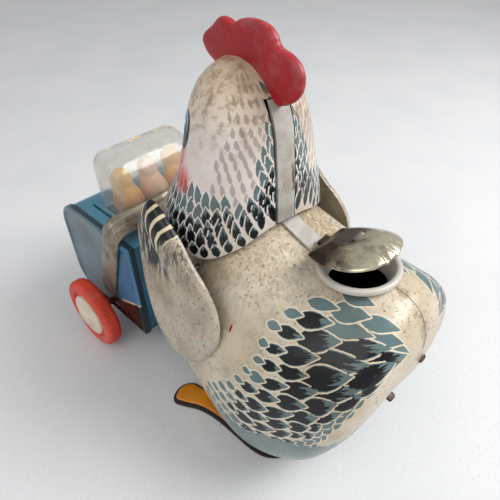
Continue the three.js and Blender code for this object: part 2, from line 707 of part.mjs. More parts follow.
const DRIVE_TREAD = [
  [1.9, -3.2], [7, -3.2], [8, -3.2], [10.8, -3.2], [DRIVE_WHEEL_R, -2.4], [DRIVE_WHEEL_R, 2.4],
  [10.8, 3.2], [1.9, 3.2], [1.9, -3.2],
];
for (const [word, x] of [["left", 21.5], ["right", -21.5]]) {
  const profile = DRIVE_TREAD.map(([r, along]) => [r, x + along]);
  add(`drive_wheel_${word}`, shape(turnedX(profile, ...DRIVE, 20)), 0x4a4a4c, 0.7);
}

// ---- cart ----
function cartOutline(inset, open = false) {
  const f = CART_FRONT + inset;
  const r = CART_REAR - inset;
  const t = CART_TOP - inset;
  const b = CART_BOTTOM + inset;
  const q = Math.max(1, CART_ROUND - inset);
  const outline = new THREE.Shape();
  outline.moveTo(r + (open ? 10 : 0), b);
  outline.lineTo(r + (open ? 10 : 0), t);
  outline.lineTo(f + q, t);
  outline.absarc(f + q, t - q, q, Math.PI / 2, Math.PI, false);
  outline.absarc(f + q, b + q, q, Math.PI, 1.5 * Math.PI, false);
  outline.closePath();
  return outline;
}

function cartPan(side) {
  const blank = slabX(cartOutline(0), ...span(side, CART_HALF - CART_PAN_DEPTH, CART_HALF));
  const cut = slabX(cartOutline(SHEET), ...span(side, CART_HALF - CART_PAN_DEPTH - 1, CART_HALF - SHEET));
  return blank.subtract(cut).subtract(rodX(-60, 60, WHEEL_Y, WHEEL_R, 2.8, 20));
}

const cartWall = CART_HALF - CART_PAN_DEPTH - GAP;

function cartShell() {
  const blank = slabX(cartOutline(1.0), -cartWall, cartWall);
  const hollow = slabX(cartOutline(1.0 + SHEET, true), -cartWall - 1, cartWall + 1);
  const hatch = box(-DOME_HALF + 2.4, DOME_HALF - 2.4, DOME_FRONT + 2.4, DOME_REAR - 2.4, 80, 95);
  const slots = rodX(-60, 60, WHEEL_Y, WHEEL_R, 2.8, 20);
  return blank.subtract(hollow).subtract(hatch).subtract(slots);
}

add("cart_side_left", shape(cartPan(1)), 0x6f8c9a, 0.4);
add("cart_side_right", shape(cartPan(-1)), 0x6f8c9a, 0.4);
add("cart_shell", shape(cartShell()), 0x3f82a6, 0.4);

function cartRear() {
  const y = CART_REAR - 1.0;
  const t = CART_TOP - 1.0 - SHEET - GAP;
  const b = CART_BOTTOM + 1.0 + SHEET + GAP;
  const panel = box(-cartWall, cartWall, y - 4, y, b, t);
  return panel.subtract(box(-cartWall + SHEET, cartWall - SHEET, y - 8, y - SHEET, b + SHEET, t - SHEET));
}

add("cart_rear_panel", shape(cartRear()), 0x1f4a66, 0.4);

const trayLevel = CART_TOP - 3.6;
const tray = box(-29, 29, DOME_FRONT - 3, DOME_REAR + 3, trayLevel - 1.2, trayLevel);
add("chick_tray", shape(tray), 0x7fae62, 0.5);

function domeSolid(inset) {
  const half = DOME_HALF - inset;
  const front = DOME_FRONT + inset;
  const rear = DOME_REAR - inset;
  const top = DOME_TOP - inset;
  const low = CART_TOP - 1 + GAP - (inset ? 3 : 0);
  const side = new THREE.Shape();
  const reach = rear - front;
  side.moveTo(front, low);
  side.lineTo(rear, low);
  side.lineTo(rear, top - 20);
  side.bezierCurveTo(rear, top - 9, rear - 6, top - 4.6, rear - 13, top - 2);
  side.quadraticCurveTo(rear - 18, top, front + 5, top);
  side.quadraticCurveTo(front, top, front, top - 5);
  side.closePath();
  const walls = slabX(side, -half, half);
  const round = 7 - inset;
  const plan = new THREE.Shape();
  plan.moveTo(-half, low - 1);
  plan.lineTo(half, low - 1);
  plan.lineTo(half, top - round);
  plan.absarc(half - round, top - round, round, 0, Math.PI / 2, false);
  plan.absarc(-half + round, top - round, round, Math.PI / 2, Math.PI, false);
  plan.closePath();
  const settings = { depth: reach + 4, bevelEnabled: false, curveSegments: 6 };
  const geometry = new THREE.ExtrudeGeometry(plan, settings);
  geometry.rotateX(Math.PI / 2);
  geometry.translate(0, rear + 2, 0);
  return walls.intersect(solid(geometry));
}

add("dome", shape(domeSolid(0).subtract(domeSolid(1.3))), 0xe8ecec, 0.1);

function chick(x, y, turn) {
  const pieces = [
    [0, 0, 7.6, 6.8, 8, 7.4],
    [0, -4.6, 16.4, 5, 5.2, 5],
    [0, 7, 9.6, 2.4, 3, 2.2],
  ];
  let whole = null;
  for (const [px, py, pz, rx, ry, rz] of pieces) {
    const ball = new THREE.SphereGeometry(1, 10, 8);
    ball.scale(rx, ry, rz);
    ball.translate(px, py, pz);
    whole = whole ? whole.add(solid(ball)) : solid(ball);
  }
  const tip = new THREE.ConeGeometry(1.4, 4, 10);
  tip.rotateX(-Math.PI / 2);
  tip.translate(0, -10.6, 16);
  whole = whole.add(solid(tip));
  const geometry = shape(whole.subtract(box(-20, 20, -20, 20, -5, 0.6)));
  geometry.rotateZ(turn);
  geometry.translate(x, y, trayLevel - 0.3);
  return geometry;
}

add("chick_1", chick(15, -66.5, 0.1), 0xd9a13a, 0.5);
add("chick_2", chick(0.4, -67.5, -0.08), 0xd9a13a, 0.5);
add("chick_3", chick(-14.6, -66, 0.05), 0xdcb79a, 0.5);

function hoopSolid() {
  const y0 = -54;
  const y1 = -40.5;
  const band = (grow, low) => {
    const half = CART_HALF + GAP + grow;
    const top = CART_TOP + 8.4 + grow;
    const r = 6.6 + grow;
    const face = new THREE.Shape();
    face.moveTo(half, low);
    face.lineTo(half, top - r);
    face.absarc(half - r, top - r, r, 0, Math.PI / 2, false);
    face.absarc(-half + r, top - r, r, Math.PI / 2, Math.PI, false);
    face.lineTo(-half, low);
    face.closePath();
    const settings = { depth: y1 - y0, bevelEnabled: false, curveSegments: 8 };
    const geometry = new THREE.ExtrudeGeometry(face, settings);
    geometry.rotateX(Math.PI / 2);
    geometry.translate(0, y1, 0);
    return solid(geometry);
  };
  let hoop = band(1.5, 31).subtract(band(0, 20));
  for (const y of [-51.6, -47.25, -42.9]) {
    const geometry = new THREE.CylinderGeometry(1.3, 1.3, 2 * (CART_HALF - 6), 12);
    geometry.rotateZ(-Math.PI / 2);
    geometry.translate(0, y, CART_TOP + 8.4 + 1.1);
    hoop = hoop.add(solid(geometry));
  }
  const [y, z] = [(y0 + y1) / 2, CART_TOP + 8.4];
  return hoop.translate([0, -y, -z]).rotate([HOOP_TILT, 0, 0]).translate([0, y, z]);
}

add("hoop", shape(hoopSolid()), 0x9d968a, 0.3, 1);

// ---- cart wheels ----
add("cart_axle", shape(rodX(-59.9, 59.9, WHEEL_Y, WHEEL_R, 2, 20)), 0x6e2a22, 0.4, 0.6);

function tread(side) {
  const a = WHEEL_INNER;
  const b = WHEEL_OUTER;
  const profile = [[2.3, a + 2], [14, a + 2], [17, a], [21.4, a], [WHEEL_R, a + 1.6], [WHEEL_R, b - 1.6],
    [21.4, b], [18, b], [16.6, b - 2], [2.3, b - 2], [2.3, a + 2]];
  let wheel = turnedX(profile.map(([r, x]) => [r, side * x]), WHEEL_Y, WHEEL_R, 24);
  if (wheel.volume() < 0) {
    wheel = turnedX(profile.map(([r, x]) => [r, side * x]).reverse(), WHEEL_Y, WHEEL_R, 32);
  }
  return wheel;
}

function hub(side) {
  const a = WHEEL_OUTER - 1.7;
  const bottom = HUB_OUTER - 1.8;
  const profile = [[2.3, a], [15.8, a], [15.8, a + 1.6], [13, a + 2.6], [8, a + 3], [6.6, HUB_OUTER - 0.4],
    [5.6, HUB_OUTER], [0, HUB_OUTER], [0, bottom], [2.3, bottom], [2.3, a]];
  let cap = turnedX(profile.map(([r, x]) => [r, side * x]), WHEEL_Y, WHEEL_R, 24);
  if (cap.volume() < 0) {
    cap = turnedX(profile.map(([r, x]) => [r, side * x]).reverse(), WHEEL_Y, WHEEL_R, 32);
  }
  return cap;
}

for (const [word, side] of [["left", 1], ["right", -1]]) {
  add(`cart_wheel_${word}`, shape(tread(side)), 0xcf4328, 0.45);
  add(`wheel_hub_${word}`, shape(hub(side)), 0xd9cfb4, 0.45);
}

// Bar under the hen that carries the cart.
const TOW_OUTLINE = [
  [18, 6.7], [-27, 6.7], [-38, 17.4], [-56, 17.4], [-56, 18.7], [-37.4, 18.7], [-26.4, 7.9], [18, 7.9],
];
add("tow_bar", shape(slabX(TOW_OUTLINE, -7, 7)), 0x77797c, 0.45, 0.9);

export default group;
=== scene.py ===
import json
import math

import bpy
import numpy as np
from mathutils import Matrix, Vector


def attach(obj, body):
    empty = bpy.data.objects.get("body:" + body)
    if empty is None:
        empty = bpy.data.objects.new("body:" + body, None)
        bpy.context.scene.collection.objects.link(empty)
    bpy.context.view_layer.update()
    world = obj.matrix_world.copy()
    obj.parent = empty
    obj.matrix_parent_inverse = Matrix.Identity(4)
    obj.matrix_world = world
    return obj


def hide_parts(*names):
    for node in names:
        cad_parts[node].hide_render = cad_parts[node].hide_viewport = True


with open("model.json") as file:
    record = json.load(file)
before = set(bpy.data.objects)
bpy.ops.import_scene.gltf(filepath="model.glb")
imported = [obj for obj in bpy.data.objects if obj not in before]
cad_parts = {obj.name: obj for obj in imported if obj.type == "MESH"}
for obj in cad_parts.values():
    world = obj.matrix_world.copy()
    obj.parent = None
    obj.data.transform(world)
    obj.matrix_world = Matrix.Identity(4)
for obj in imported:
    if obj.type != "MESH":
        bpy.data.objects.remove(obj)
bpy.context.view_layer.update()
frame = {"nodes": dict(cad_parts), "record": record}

MM = 0.001

# ---- shape of the stampings ----
TAIL_Y, BREAST_Y = 107.8, -29.5
BODY_ANGLES = (0, 20, 45, 75, 105, 130, 150, 165, 180)
BODY_HALF_WIDTH = (0, 20.7, 37.3, 49.1, 55.5, 49.4, 40.5, 24.6, 0)
BODY_TOP = (62.6, 100, 120, 127, 116, 118.5, 115.5, 105.5, 86)
BODY_BOTTOM = (62.6, 34, 14.6, 6.8, 4.4, 13.6, 47.1, 79, 86)
BODY_WIDEST_AT = 0.39
BODY_UPPER_POWER = 2.08
BODY_LOWER_POWER = (2.2, 2.6, 2.8, 2.75, 2.4, 2.28, 2.28, 2.2, 2)

HEAD_LEVELS = (104, 114, 118, 128, 140, 155, 168, 178, 184, 186)
HEAD_HALF_WIDTH = (42, 41.5, 41, 38, 33.4, 28.8, 24.8, 18.6, 10.5, 5)
HEAD_FRONT = (-24, -24, -23.5, -18.5, -12.8, -9, -8.6, -6, 0, 5)
HEAD_REAR = (38.5, 38.5, 38.4, 37.8, 37, 35.6, 33.6, 28, 20, 15)
HEM_TURNS = (0, 0.25, 0.6, 0.95, 1.3, 2.2, math.pi)
HEM_LEFT = (127, 125.5, 118.5, 114.2, 117.5, 118, 121)
HEM_RIGHT = (127, 126.4, 121.6, 117.6, 118.4, 118, 121)
HEAD_TOP = 186.4
CROWN_Y = 10
CROWN_POLE = ((-1, (0, 0, 1)),)
HEAD_AXIS_Y = 8
HEAD_TURN = math.radians(-8.5)
STRIP_HALF = 5
STRIP_LOW, STRIP_HIGH = 127, 177

GAP = 0.3
SKIN = 0.9
RING_CENTRE = (0, 73, 119.3)
RING_TILT = math.radians(5)
RING_RADIUS, RING_BORE = 17.2, 12.6
LID_HINGE = (0, 54.6, 120.6)
LID_LEAN = math.radians(19)
ARBOR = (12, 34)


# ---- small tools ----
def smooth(stations, values, at):
    """Smooth value between listed stations."""
    s, v, at = (np.asarray(a, float) for a in (stations, values, at))
    k = np.arange(len(s))
    low, high = np.maximum(k - 1, 0), np.minimum(k + 1, len(s) - 1)
    slope = (v[high] - v[low]) / (s[high] - s[low])
    i = np.clip(np.searchsorted(s, at) - 1, 0, len(s) - 2)
    width = s[i + 1] - s[i]
    t = np.clip((at - s[i]) / width, 0, 1)
    value = (1 + 2 * t) * (1 - t) ** 2 * v[i] + t * t * (3 - 2 * t) * v[i + 1]
    return value + width * t * (1 - t) * ((1 - t) * slope[i] - t * slope[i + 1])


def circle(count):
    """Angles once round."""
    return np.arange(count) * 2 * math.pi / count


def power(value, n):
    """Shape of a superellipse of power n."""
    return np.sign(value) * np.abs(value) ** (2 / n)


def unit(v):
    return v / np.maximum(np.linalg.norm(v, axis=-1, keepdims=True), 1e-9)


def spline(points, count):
    """Closed Catmull-Rom curve, in the same way as the CAD outlines."""
    p = np.array([*points, points[0]], float)
    last = len(p) - 1
    at = np.arange(count) / count * last
    i = np.minimum(at.astype(int), last - 1)
    t = (at - i)[:, None]
    a, b, c, d = (p[np.clip(i + k, 0, last)] for k in (-1, 0, 1, 2))
    m, n = (c - a) / 2, (d - b) / 2
    return (2 * b - 2 * c + m + n) * t**3 + (3 * c - 3 * b - 2 * m - n) * t**2 + m * t + b


def build(name, points, faces, sharp=40):
    """Mesh object from points in millimetres. sharp is the angle above which an edge stays crisp."""
    mesh = bpy.data.meshes.new(name)
    mesh.from_pydata((np.asarray(points, float) * MM).tolist(), [], [list(map(int, f)) for f in faces])
    mesh.validate()
    piece = bpy.data.objects.new(name, mesh)
    bpy.context.scene.collection.objects.link(piece)
    return crisp(piece, sharp)


def read(items, name, width=3, kind=float):
    """One property of a mesh's items as rows of an array."""
    data = np.empty(len(items) * width, kind)
    items.foreach_get(name, data)
    return data.reshape(-1, width) if width > 1 else data


def face_outwards(piece):
    """Turns the faces of a closed piece so that their normals point out."""
    mesh = piece.data
    mesh.calc_loop_triangles()
    corners = read(mesh.loop_triangles, "vertices", kind=int)
    a, b, c = read(mesh.vertices, "co")[corners].transpose(1, 0, 2)
    if np.einsum("ij,ij->i", a, np.cross(b, c)).sum() < 0:
        mesh.flip_normals()
    return piece


def loft(name, rings, first=None, last=None, sharp=40):
    """Closed skin through rings of points. An end is a point, or None for a flat cap."""
    rings = [np.asarray(r, float) for r in rings]
    count = len(rings[0])
    points = list(np.concatenate(rings))
    faces = []
    for i in range(len(rings) - 1):
        for j in range(count):
            k = (j + 1) % count
            faces.append((i * count + j, i * count + k, (i + 1) * count + k, (i + 1) * count + j))
    for tip, row in ((first, 0), (last, len(rings) - 1)):
        edge = [row * count + j for j in range(count)]
        if tip is None:
            faces.append(edge if row else edge[::-1])
            continue
        points.append(np.asarray(tip, float))
        for j in range(count):
            pair = (edge[j], edge[(j + 1) % count])
            faces.append((*pair, len(points) - 1) if row else (*pair[::-1], len(points) - 1))
    return face_outwards(build(name, points, faces, sharp))


def skin(name, outer, inner, sharp=40):
    """Closed sheet from an outer and an inner grid of points with the same rows. Rows may end in a pole."""
    points, faces, ids = [], [], []
    for grid in (outer, inner):
        rows, columns = grid.shape[:2]
        index = np.empty((rows, columns), int)
        for i in range(rows):
            single = np.ptp(grid[i], axis=0).max() < 1e-6
            for j in range(columns):
                if j and single:
                    index[i, j] = index[i, 0]
                    continue
                index[i, j] = len(points)
                points.append(grid[i, j])
        ids.append(index)
    for index, flip in zip(ids, (False, True)):
        for i in range(index.shape[0] - 1):
            for j in range(index.shape[1] - 1):
                loop = [index[i, j], index[i, j + 1], index[i + 1, j + 1], index[i + 1, j]]
                face = list(dict.fromkeys(loop))
                faces.append(face[::-1] if flip else face)
    a, b = ids
    borders = [(a[:, 0], b[:, 0], False), (a[:, -1], b[:, -1], True)]
    for row in (0, -1):
        if a[row, 0] != a[row, -1]:
            borders.append((a[row], b[row], row == 0))
    for near, far, flip in borders:
        if len(near) == len(far):
            for i in range(len(near) - 1):
                face = list(dict.fromkeys([near[i], near[i + 1], far[i + 1], far[i]]))
                faces.append(face[::-1] if flip else face)
            continue
        step = (len(near) - 1) // (len(far) - 1)
        for i in range(len(far) - 1):
            face = [*near[i * step:(i + 1) * step + 1], far[i + 1], far[i]]
            faces.append(face[::-1] if flip else face)
    return face_outwards(build(name, points, faces, sharp))


def inwards(grid, distance, poles=()):
    """The grid moved along its own normals. poles gives (row, direction) where a row is one point."""
    along = np.gradient(grid, axis=0)
    across = np.gradient(grid, axis=1)
    normal = unit(np.cross(across, along))
    for row, direction in poles:
        normal[row] = direction
    return grid - normal * distance


def lathe(name, profile, sides=96, sharp=35, ribs=None):
    """Ring turned about Z from a closed profile of (radius, z). ribs(turn, radius) lowers the radius."""
    turn = circle(sides)
    points, faces = [], []
    for r, z in profile:
        reach = r - (ribs(turn, r) if ribs else 0.0)
        points += list(np.stack([reach * np.cos(turn), reach * np.sin(turn), np.full(sides, z)], 1))
    rows = len(profile)
    for i in range(rows):
        for j in range(sides):
            k = (j + 1) % sides
            n = (i + 1) % rows
            faces.append((i * sides + j, i * sides + k, n * sides + k, n * sides + j))
    return face_outwards(build(name, points, faces, sharp))


def turned(name, profile, sides=96, sharp=35):
    """Solid turned about Z whose profile starts and ends on the axis."""
    turn = circle(sides)
    rings = [np.stack([r * np.cos(turn), r * np.sin(turn), 0 * turn + z], 1) for r, z in profile[1:-1]]
    ends = [np.array((0.0, 0.0, profile[i][1])) for i in (0, -1)]
    return loft(name, rings, *ends, sharp=sharp)


def block(name, low, high):
    """Plain box between two corners."""
    x, y, z = zip(low, high)
    points = [(x[i], y[j], z[k]) for i in (0, 1) for j in (0, 1) for k in (0, 1)]
    faces = [(0, 1, 3, 2), (4, 6, 7, 5), (0, 4, 5, 1), (2, 3, 7, 6), (0, 2, 6, 4), (1, 5, 7, 3)]
    return face_outwards(build(name, points, faces))


def bar(name, radius, length, sides=64):
    """Plain rod from z 0 to its length."""
    turn = circle(sides)
    ring = np.stack([radius * np.cos(turn), radius * np.sin(turn), 0 * turn], 1)
    return loft(name, [ring, ring + (0, 0, length)])


def place(piece, matrix):
    piece.data.transform(matrix)
    return piece


def shift(x, y, z):
    return Matrix.Translation(Vector((x, y, z)) * MM)


def post_room(radius):
    """Rod round the post that carries the head."""
    return place(bar("post", radius, 44), shift(0, HEAD_AXIS_Y, 96))


RING_PLACE = shift(*RING_CENTRE) @ Matrix.Rotation(RING_TILT, 4, "X")
SIDEWAYS = Matrix.Rotation(math.pi / 2, 4, "Y")
SIDES = (("left", 1), ("right", -1))


def applied(piece):
    """Bakes a piece's modifiers into its mesh."""
    graph = bpy.context.evaluated_depsgraph_get()
    mesh = bpy.data.meshes.new_from_object(piece.evaluated_get(graph))
    old = piece.data
    piece.modifiers.clear()
    piece.data = mesh
    bpy.data.meshes.remove(old)
    return piece


def crisp(piece, sharp):
    """Smooth shading, but for edges above the angle sharp."""
    piece.data.shade_smooth()
    piece.data.set_sharp_from_angle(angle=math.radians(sharp))
    return piece


def combined(piece, *others, operation="UNION", sharp=40):
    """Joins other closed pieces to a piece, and uses them up."""
    for other in others:
        step = piece.modifiers.new("boolean", "BOOLEAN")
        step.operation = operation
        step.solver = "MANIFOLD"
        step.object = other
    applied(piece)
    for other in others:
        bpy.data.objects.remove(other)
    return crisp(piece, sharp)


def cut(piece, *cutters, sharp=40):
    return combined(piece, *cutters, operation="DIFFERENCE", sharp=sharp)


def softened(piece, width, steps=2):
    """Rounds the crisp edges of a piece."""
    step = piece.modifiers.new("soft", "BEVEL")
    step.width = width * MM
    step.segments = steps
    step.limit_method = "ANGLE"
    step.angle_limit = math.radians(50)
    return crisp(applied(piece), 50)


def inset(outline, distance):
    """Closed outline, drawn anticlockwise, moved inwards by a distance."""
    ahead = unit(np.roll(outline, -1, axis=0) - outline)
    behind = np.roll(ahead, 1, axis=0)
    n1 = np.column_stack([-ahead[:, 1], ahead[:, 0]])
    n2 = np.column_stack([-behind[:, 1], behind[:, 0]])
    middle = unit(n1 + n2)
    stretch = np.maximum(np.einsum("ij,ij->i", middle, n1), 0.4)[:, None]
    return outline + middle / stretch * distance


def shrunk(outline, centre, share, narrower=0.0):
    """Outline drawn towards its centre to a share of its size, less a distance at the rim."""
    spread = outline - centre
    far = np.linalg.norm(spread, axis=1, keepdims=True)
    return centre + spread * share * (1 - narrower / far)


def corner(u, v, radius, start, steps=10):
    """Quarter circle about (u, v), from a start angle in degrees."""
    a = np.radians(start + 90 * np.arange(steps + 1) / steps)
    return np.column_stack([u + radius * np.cos(a), v + radius * np.sin(a)])


def layered(name, layers, lay, sharp=40):
    """Solid through (outline, height) layers. lay turns (u, v, height) into a point."""
    rings = [lay(*flat.T, np.full(len(flat), float(height))) for flat, height in layers]
    return loft(name, rings, sharp=sharp)


def dress(piece, material):
    """Gives a piece one material."""
    piece.data.materials.clear()
    piece.data.materials.append(material)


def stands_for(piece, body, slot, material, *nodes):
    """A finished piece: it rides on a body and takes the place of CAD nodes."""
    dress(piece, material)
    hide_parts(*nodes)
    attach(piece, body)


def lined(piece, low, high, lining):
    """Gives the faces that look in at the line from low to high a lining of their own."""
    mesh = piece.data
    mesh.materials.append(lining)
    low, high = np.array(low, float), np.array(high, float)
    for face in mesh.polygons:
        centre = np.array(face.center) / MM
        share = np.clip((centre - low) @ (high - low) / ((high - low) @ (high - low)), 0, 1)
        if np.dot(centre - low - share * (high - low), face.normal) < 0:
            face.material_index = 1


# ---- materials ----
def srgb(r, g, b):
    """Colour as it looks on a screen, 0 to 1, turned into the linear values that sockets take."""
    return (*(c / 12.92 if c <= 0.04045 else ((c + 0.055) / 1.055) ** 2.4 for c in (r, g, b)), 1.0)


class Paint:
    """Wires up one procedural material."""

    def __init__(self, name, **sockets):
        self.material = bpy.data.materials.new(name)
        self.material.use_nodes = True
        self.tree = self.material.node_tree
        self.shader = self.tree.nodes["Principled BSDF"]
        self.place = self.add("ShaderNodeTexCoord").outputs["Object"]
        self.set(**sockets)

    def set(self, **sockets):
        for key, value in sockets.items():
            self.link(value, self.shader.inputs[key.replace("_", " ")])

    def link(self, value, socket):
        if isinstance(value, bpy.types.NodeSocket):
            self.tree.links.new(value, socket)
        else:
            socket.default_value = value

    def add(self, kind, inputs=(), **settings):
        node = self.tree.nodes.new(kind)
        for key, value in settings.items():
            setattr(node, key, value)
        for key, value in dict(inputs).items():
            self.link(value, node.inputs[key])
        return node

    def math(self, operation, a, b=0.0, c=0.0):
        return self.add("ShaderNodeMath", {0: a, 1: b, 2: c}, operation=operation).outputs[0]

    def plus(self, a, b):
        return self.math("ADD", a, b)

    def minus(self, a, b):
        return self.math("SUBTRACT", a, b)

    def times(self, a, b):
        return self.math("MULTIPLY", a, b)

    def size(self, value):
        return self.math("ABSOLUTE", value)

    def noise(self, size, detail=3.0, roughness=0.5, vector=None, distortion=0.0):
        """Noise whose features are about size millimetres across."""
        inputs = {"Vector": vector or self.place, "Scale": 1 / (size * MM), "Detail": detail}
        inputs |= {"Roughness": roughness, "Distortion": distortion}
        return self.add("ShaderNodeTexNoise", inputs).outputs["Fac"]

    def rise(self, value, low, high):
        """0 below low, 1 above high, smooth between. low may be the larger."""
        inputs = {"Value": value, "From Min": low, "From Max": high}
        return self.add("ShaderNodeMapRange", inputs, interpolation_type="SMOOTHSTEP").outputs[0]

    def between(self, value, low, high):
        """value from 0 to 1 spread over low to high."""
        inputs = {"Value": value, "To Min": low, "To Max": high}
        return self.add("ShaderNodeMapRange", inputs).outputs[0]

    def mix(self, factor, a, b, blend="MIX"):
        node = self.add("ShaderNodeMix", data_type="RGBA", blend_type=blend)
        self.link(factor, node.inputs[0])
        self.link(a, node.inputs[6])
        self.link(b, node.inputs[7])
        return node.outputs[2]

    def axes(self, vector=None):
        split = self.add("ShaderNodeSeparateXYZ", {0: vector or self.place})
        return split.outputs

    def joined(self, x=0.0, y=0.0, z=0.0):
        return self.add("ShaderNodeCombineXYZ", {0: x, 1: y, 2: z}).outputs[0]

    def stretched(self, x, y, z):
        """The place, with each axis squeezed by a factor."""
        inputs = {0: self.place, 1: (x, y, z)}
        return self.add("ShaderNodeVectorMath", inputs, operation="MULTIPLY").outputs[0]

    def attribute(self, name, output="Fac"):
        return self.add("ShaderNodeAttribute", attribute_name=name).outputs[output]

    def bump(self, height, depth, below=None):
        """Relief of depth millimetres where height is 1, over the relief below."""
        inputs = {"Height": height, "Distance": depth * MM}
        if below is not None:
            inputs["Normal"] = below
        return self.add("ShaderNodeBump", inputs).outputs[0]

    def patches(self, size, low=0.35, high=0.7):
        """1 inside soft patches about size millimetres across."""
        return self.rise(self.noise(size, 3.0), low, high)

    def spots(self, size, share, softness=0.03):
        """1 inside scattered irregular spots. share is how far up the noise they start."""
        return self.rise(self.noise(size, 4.0, 0.6), share, share + softness)

    def distance(self, y, z, half_y, half_z):
        """Distance from a point in the side view, in units of an ellipse's half axes."""
        _, py, pz = self.axes()
        a = self.math("DIVIDE", self.minus(py, y * MM), half_y * MM)
        b = self.math("DIVIDE", self.minus(pz, z * MM), half_z * MM)
        return self.math("SQRT", self.plus(self.times(a, a), self.times(b, b)))


TEAL = srgb(0.31, 0.39, 0.40)
PALE_TEAL = srgb(0.40, 0.48, 0.48)
INK = srgb(0.035, 0.04, 0.05)
LILAC = srgb(0.67, 0.625, 0.615)
CREAM = srgb(0.80, 0.745, 0.665)
LINE = srgb(0.83, 0.785, 0.70)
RUST = srgb(0.36, 0.22, 0.12)


# How much a feather narrows towards its tip, least agreement of a face with a feather's own
# direction, and the place given to a face that has none, far beside any feather.
LEAF_POINT, FACING, BESIDE = 0.42, 0.2, 99.0


def leaf_print(paint, ground, line, thick=0.55):
    """Printed feathers over a ground. Each face of the mesh knows two feathers, the upper one first."""
    wobble = paint.between(paint.noise(1.6, 2.0), -0.35, 0.35)
    colour = ground
    for which in "ba":
        along, across, half = paint.axes(paint.attribute(f"leaf_{which}", "Vector"))
        wide, kind, seed = paint.axes(paint.attribute(f"look_{which}", "Vector"))
        share = paint.math("DIVIDE", along, half)
        taper = paint.math("MAXIMUM", paint.minus(1.0, paint.times(share, share)), 0.0)
        taper = paint.times(taper, paint.minus(1.0, paint.times(share, LEAF_POINT)))
        beyond = paint.math("MAXIMUM", paint.minus(paint.size(along), half), 0.0)
        edge = paint.minus(paint.size(across), paint.times(wide, taper))
        edge = paint.plus(paint.plus(edge, beyond), wobble)

        comb_place = paint.joined(across, paint.times(along, 0.12), seed)
        comb_inputs = {"Vector": comb_place, "Scale": 1.0, "Detail": 2.0, "Roughness": 0.7}
        comb = paint.add("ShaderNodeTexNoise", comb_inputs).outputs["Fac"]
        ragged = paint.plus(share, paint.between(comb, -1.0, 1.0))
        heart = paint.times(paint.rise(ragged, 0.44, 0.39), paint.rise(edge, -0.25, -0.45))
        heart = paint.times(heart, paint.math("GREATER_THAN", kind, 1.5))
        shade = paint.mix(paint.noise(14, 2.0), TEAL, PALE_TEAL)
        shade = paint.mix(paint.math("LESS_THAN", kind, 0.5), shade, LILAC)
        shade = paint.mix(heart, shade, INK)
        rim = paint.times(paint.rise(edge, thick + 0.1, thick - 0.1), paint.math("GREATER_THAN", kind, 0.5))
        colour = paint.mix(rim, colour, line)
        colour = paint.mix(paint.rise(edge, 0.1, -0.1), colour, shade)
    return colour


def aged(paint, colour, wear=1.0):
    """Dust, rust freckles and brown blots on printed tin."""
    yellowed = paint.times(paint.patches(38, 0.42, 0.68), 0.5 * wear)
    colour = paint.mix(yellowed, colour, srgb(0.84, 0.76, 0.64), "MULTIPLY")
    freckle = paint.times(paint.spots(1.3, 0.66), paint.rise(paint.noise(30, 2.0), 0.40, 0.62))
    colour = paint.mix(paint.times(freckle, 0.75 * wear), colour, RUST)
    blot = paint.times(paint.spots(5.5, 0.71, 0.06), 0.55 * wear)
    return paint.mix(blot, colour, srgb(0.50, 0.42, 0.30))


def enamel(paint, colour, roughness=(0.20, 0.34), dents=0.25):
    """Glossy varnish on thin tin: varied gloss, shallow dents, fine orange peel."""
    gloss = paint.between(paint.noise(9, 4.0, 0.6), *roughness)
    dent = paint.bump(paint.noise(26, 2.0), dents)
    peel = paint.bump(paint.noise(0.8), 0.02, dent)
    paint.set(Base_Color=colour, Roughness=gloss, Normal=peel, Specular_IOR_Level=0.34)
    paint.set(Coat_Weight=0.08, Coat_Roughness=0.12)
    return paint.material


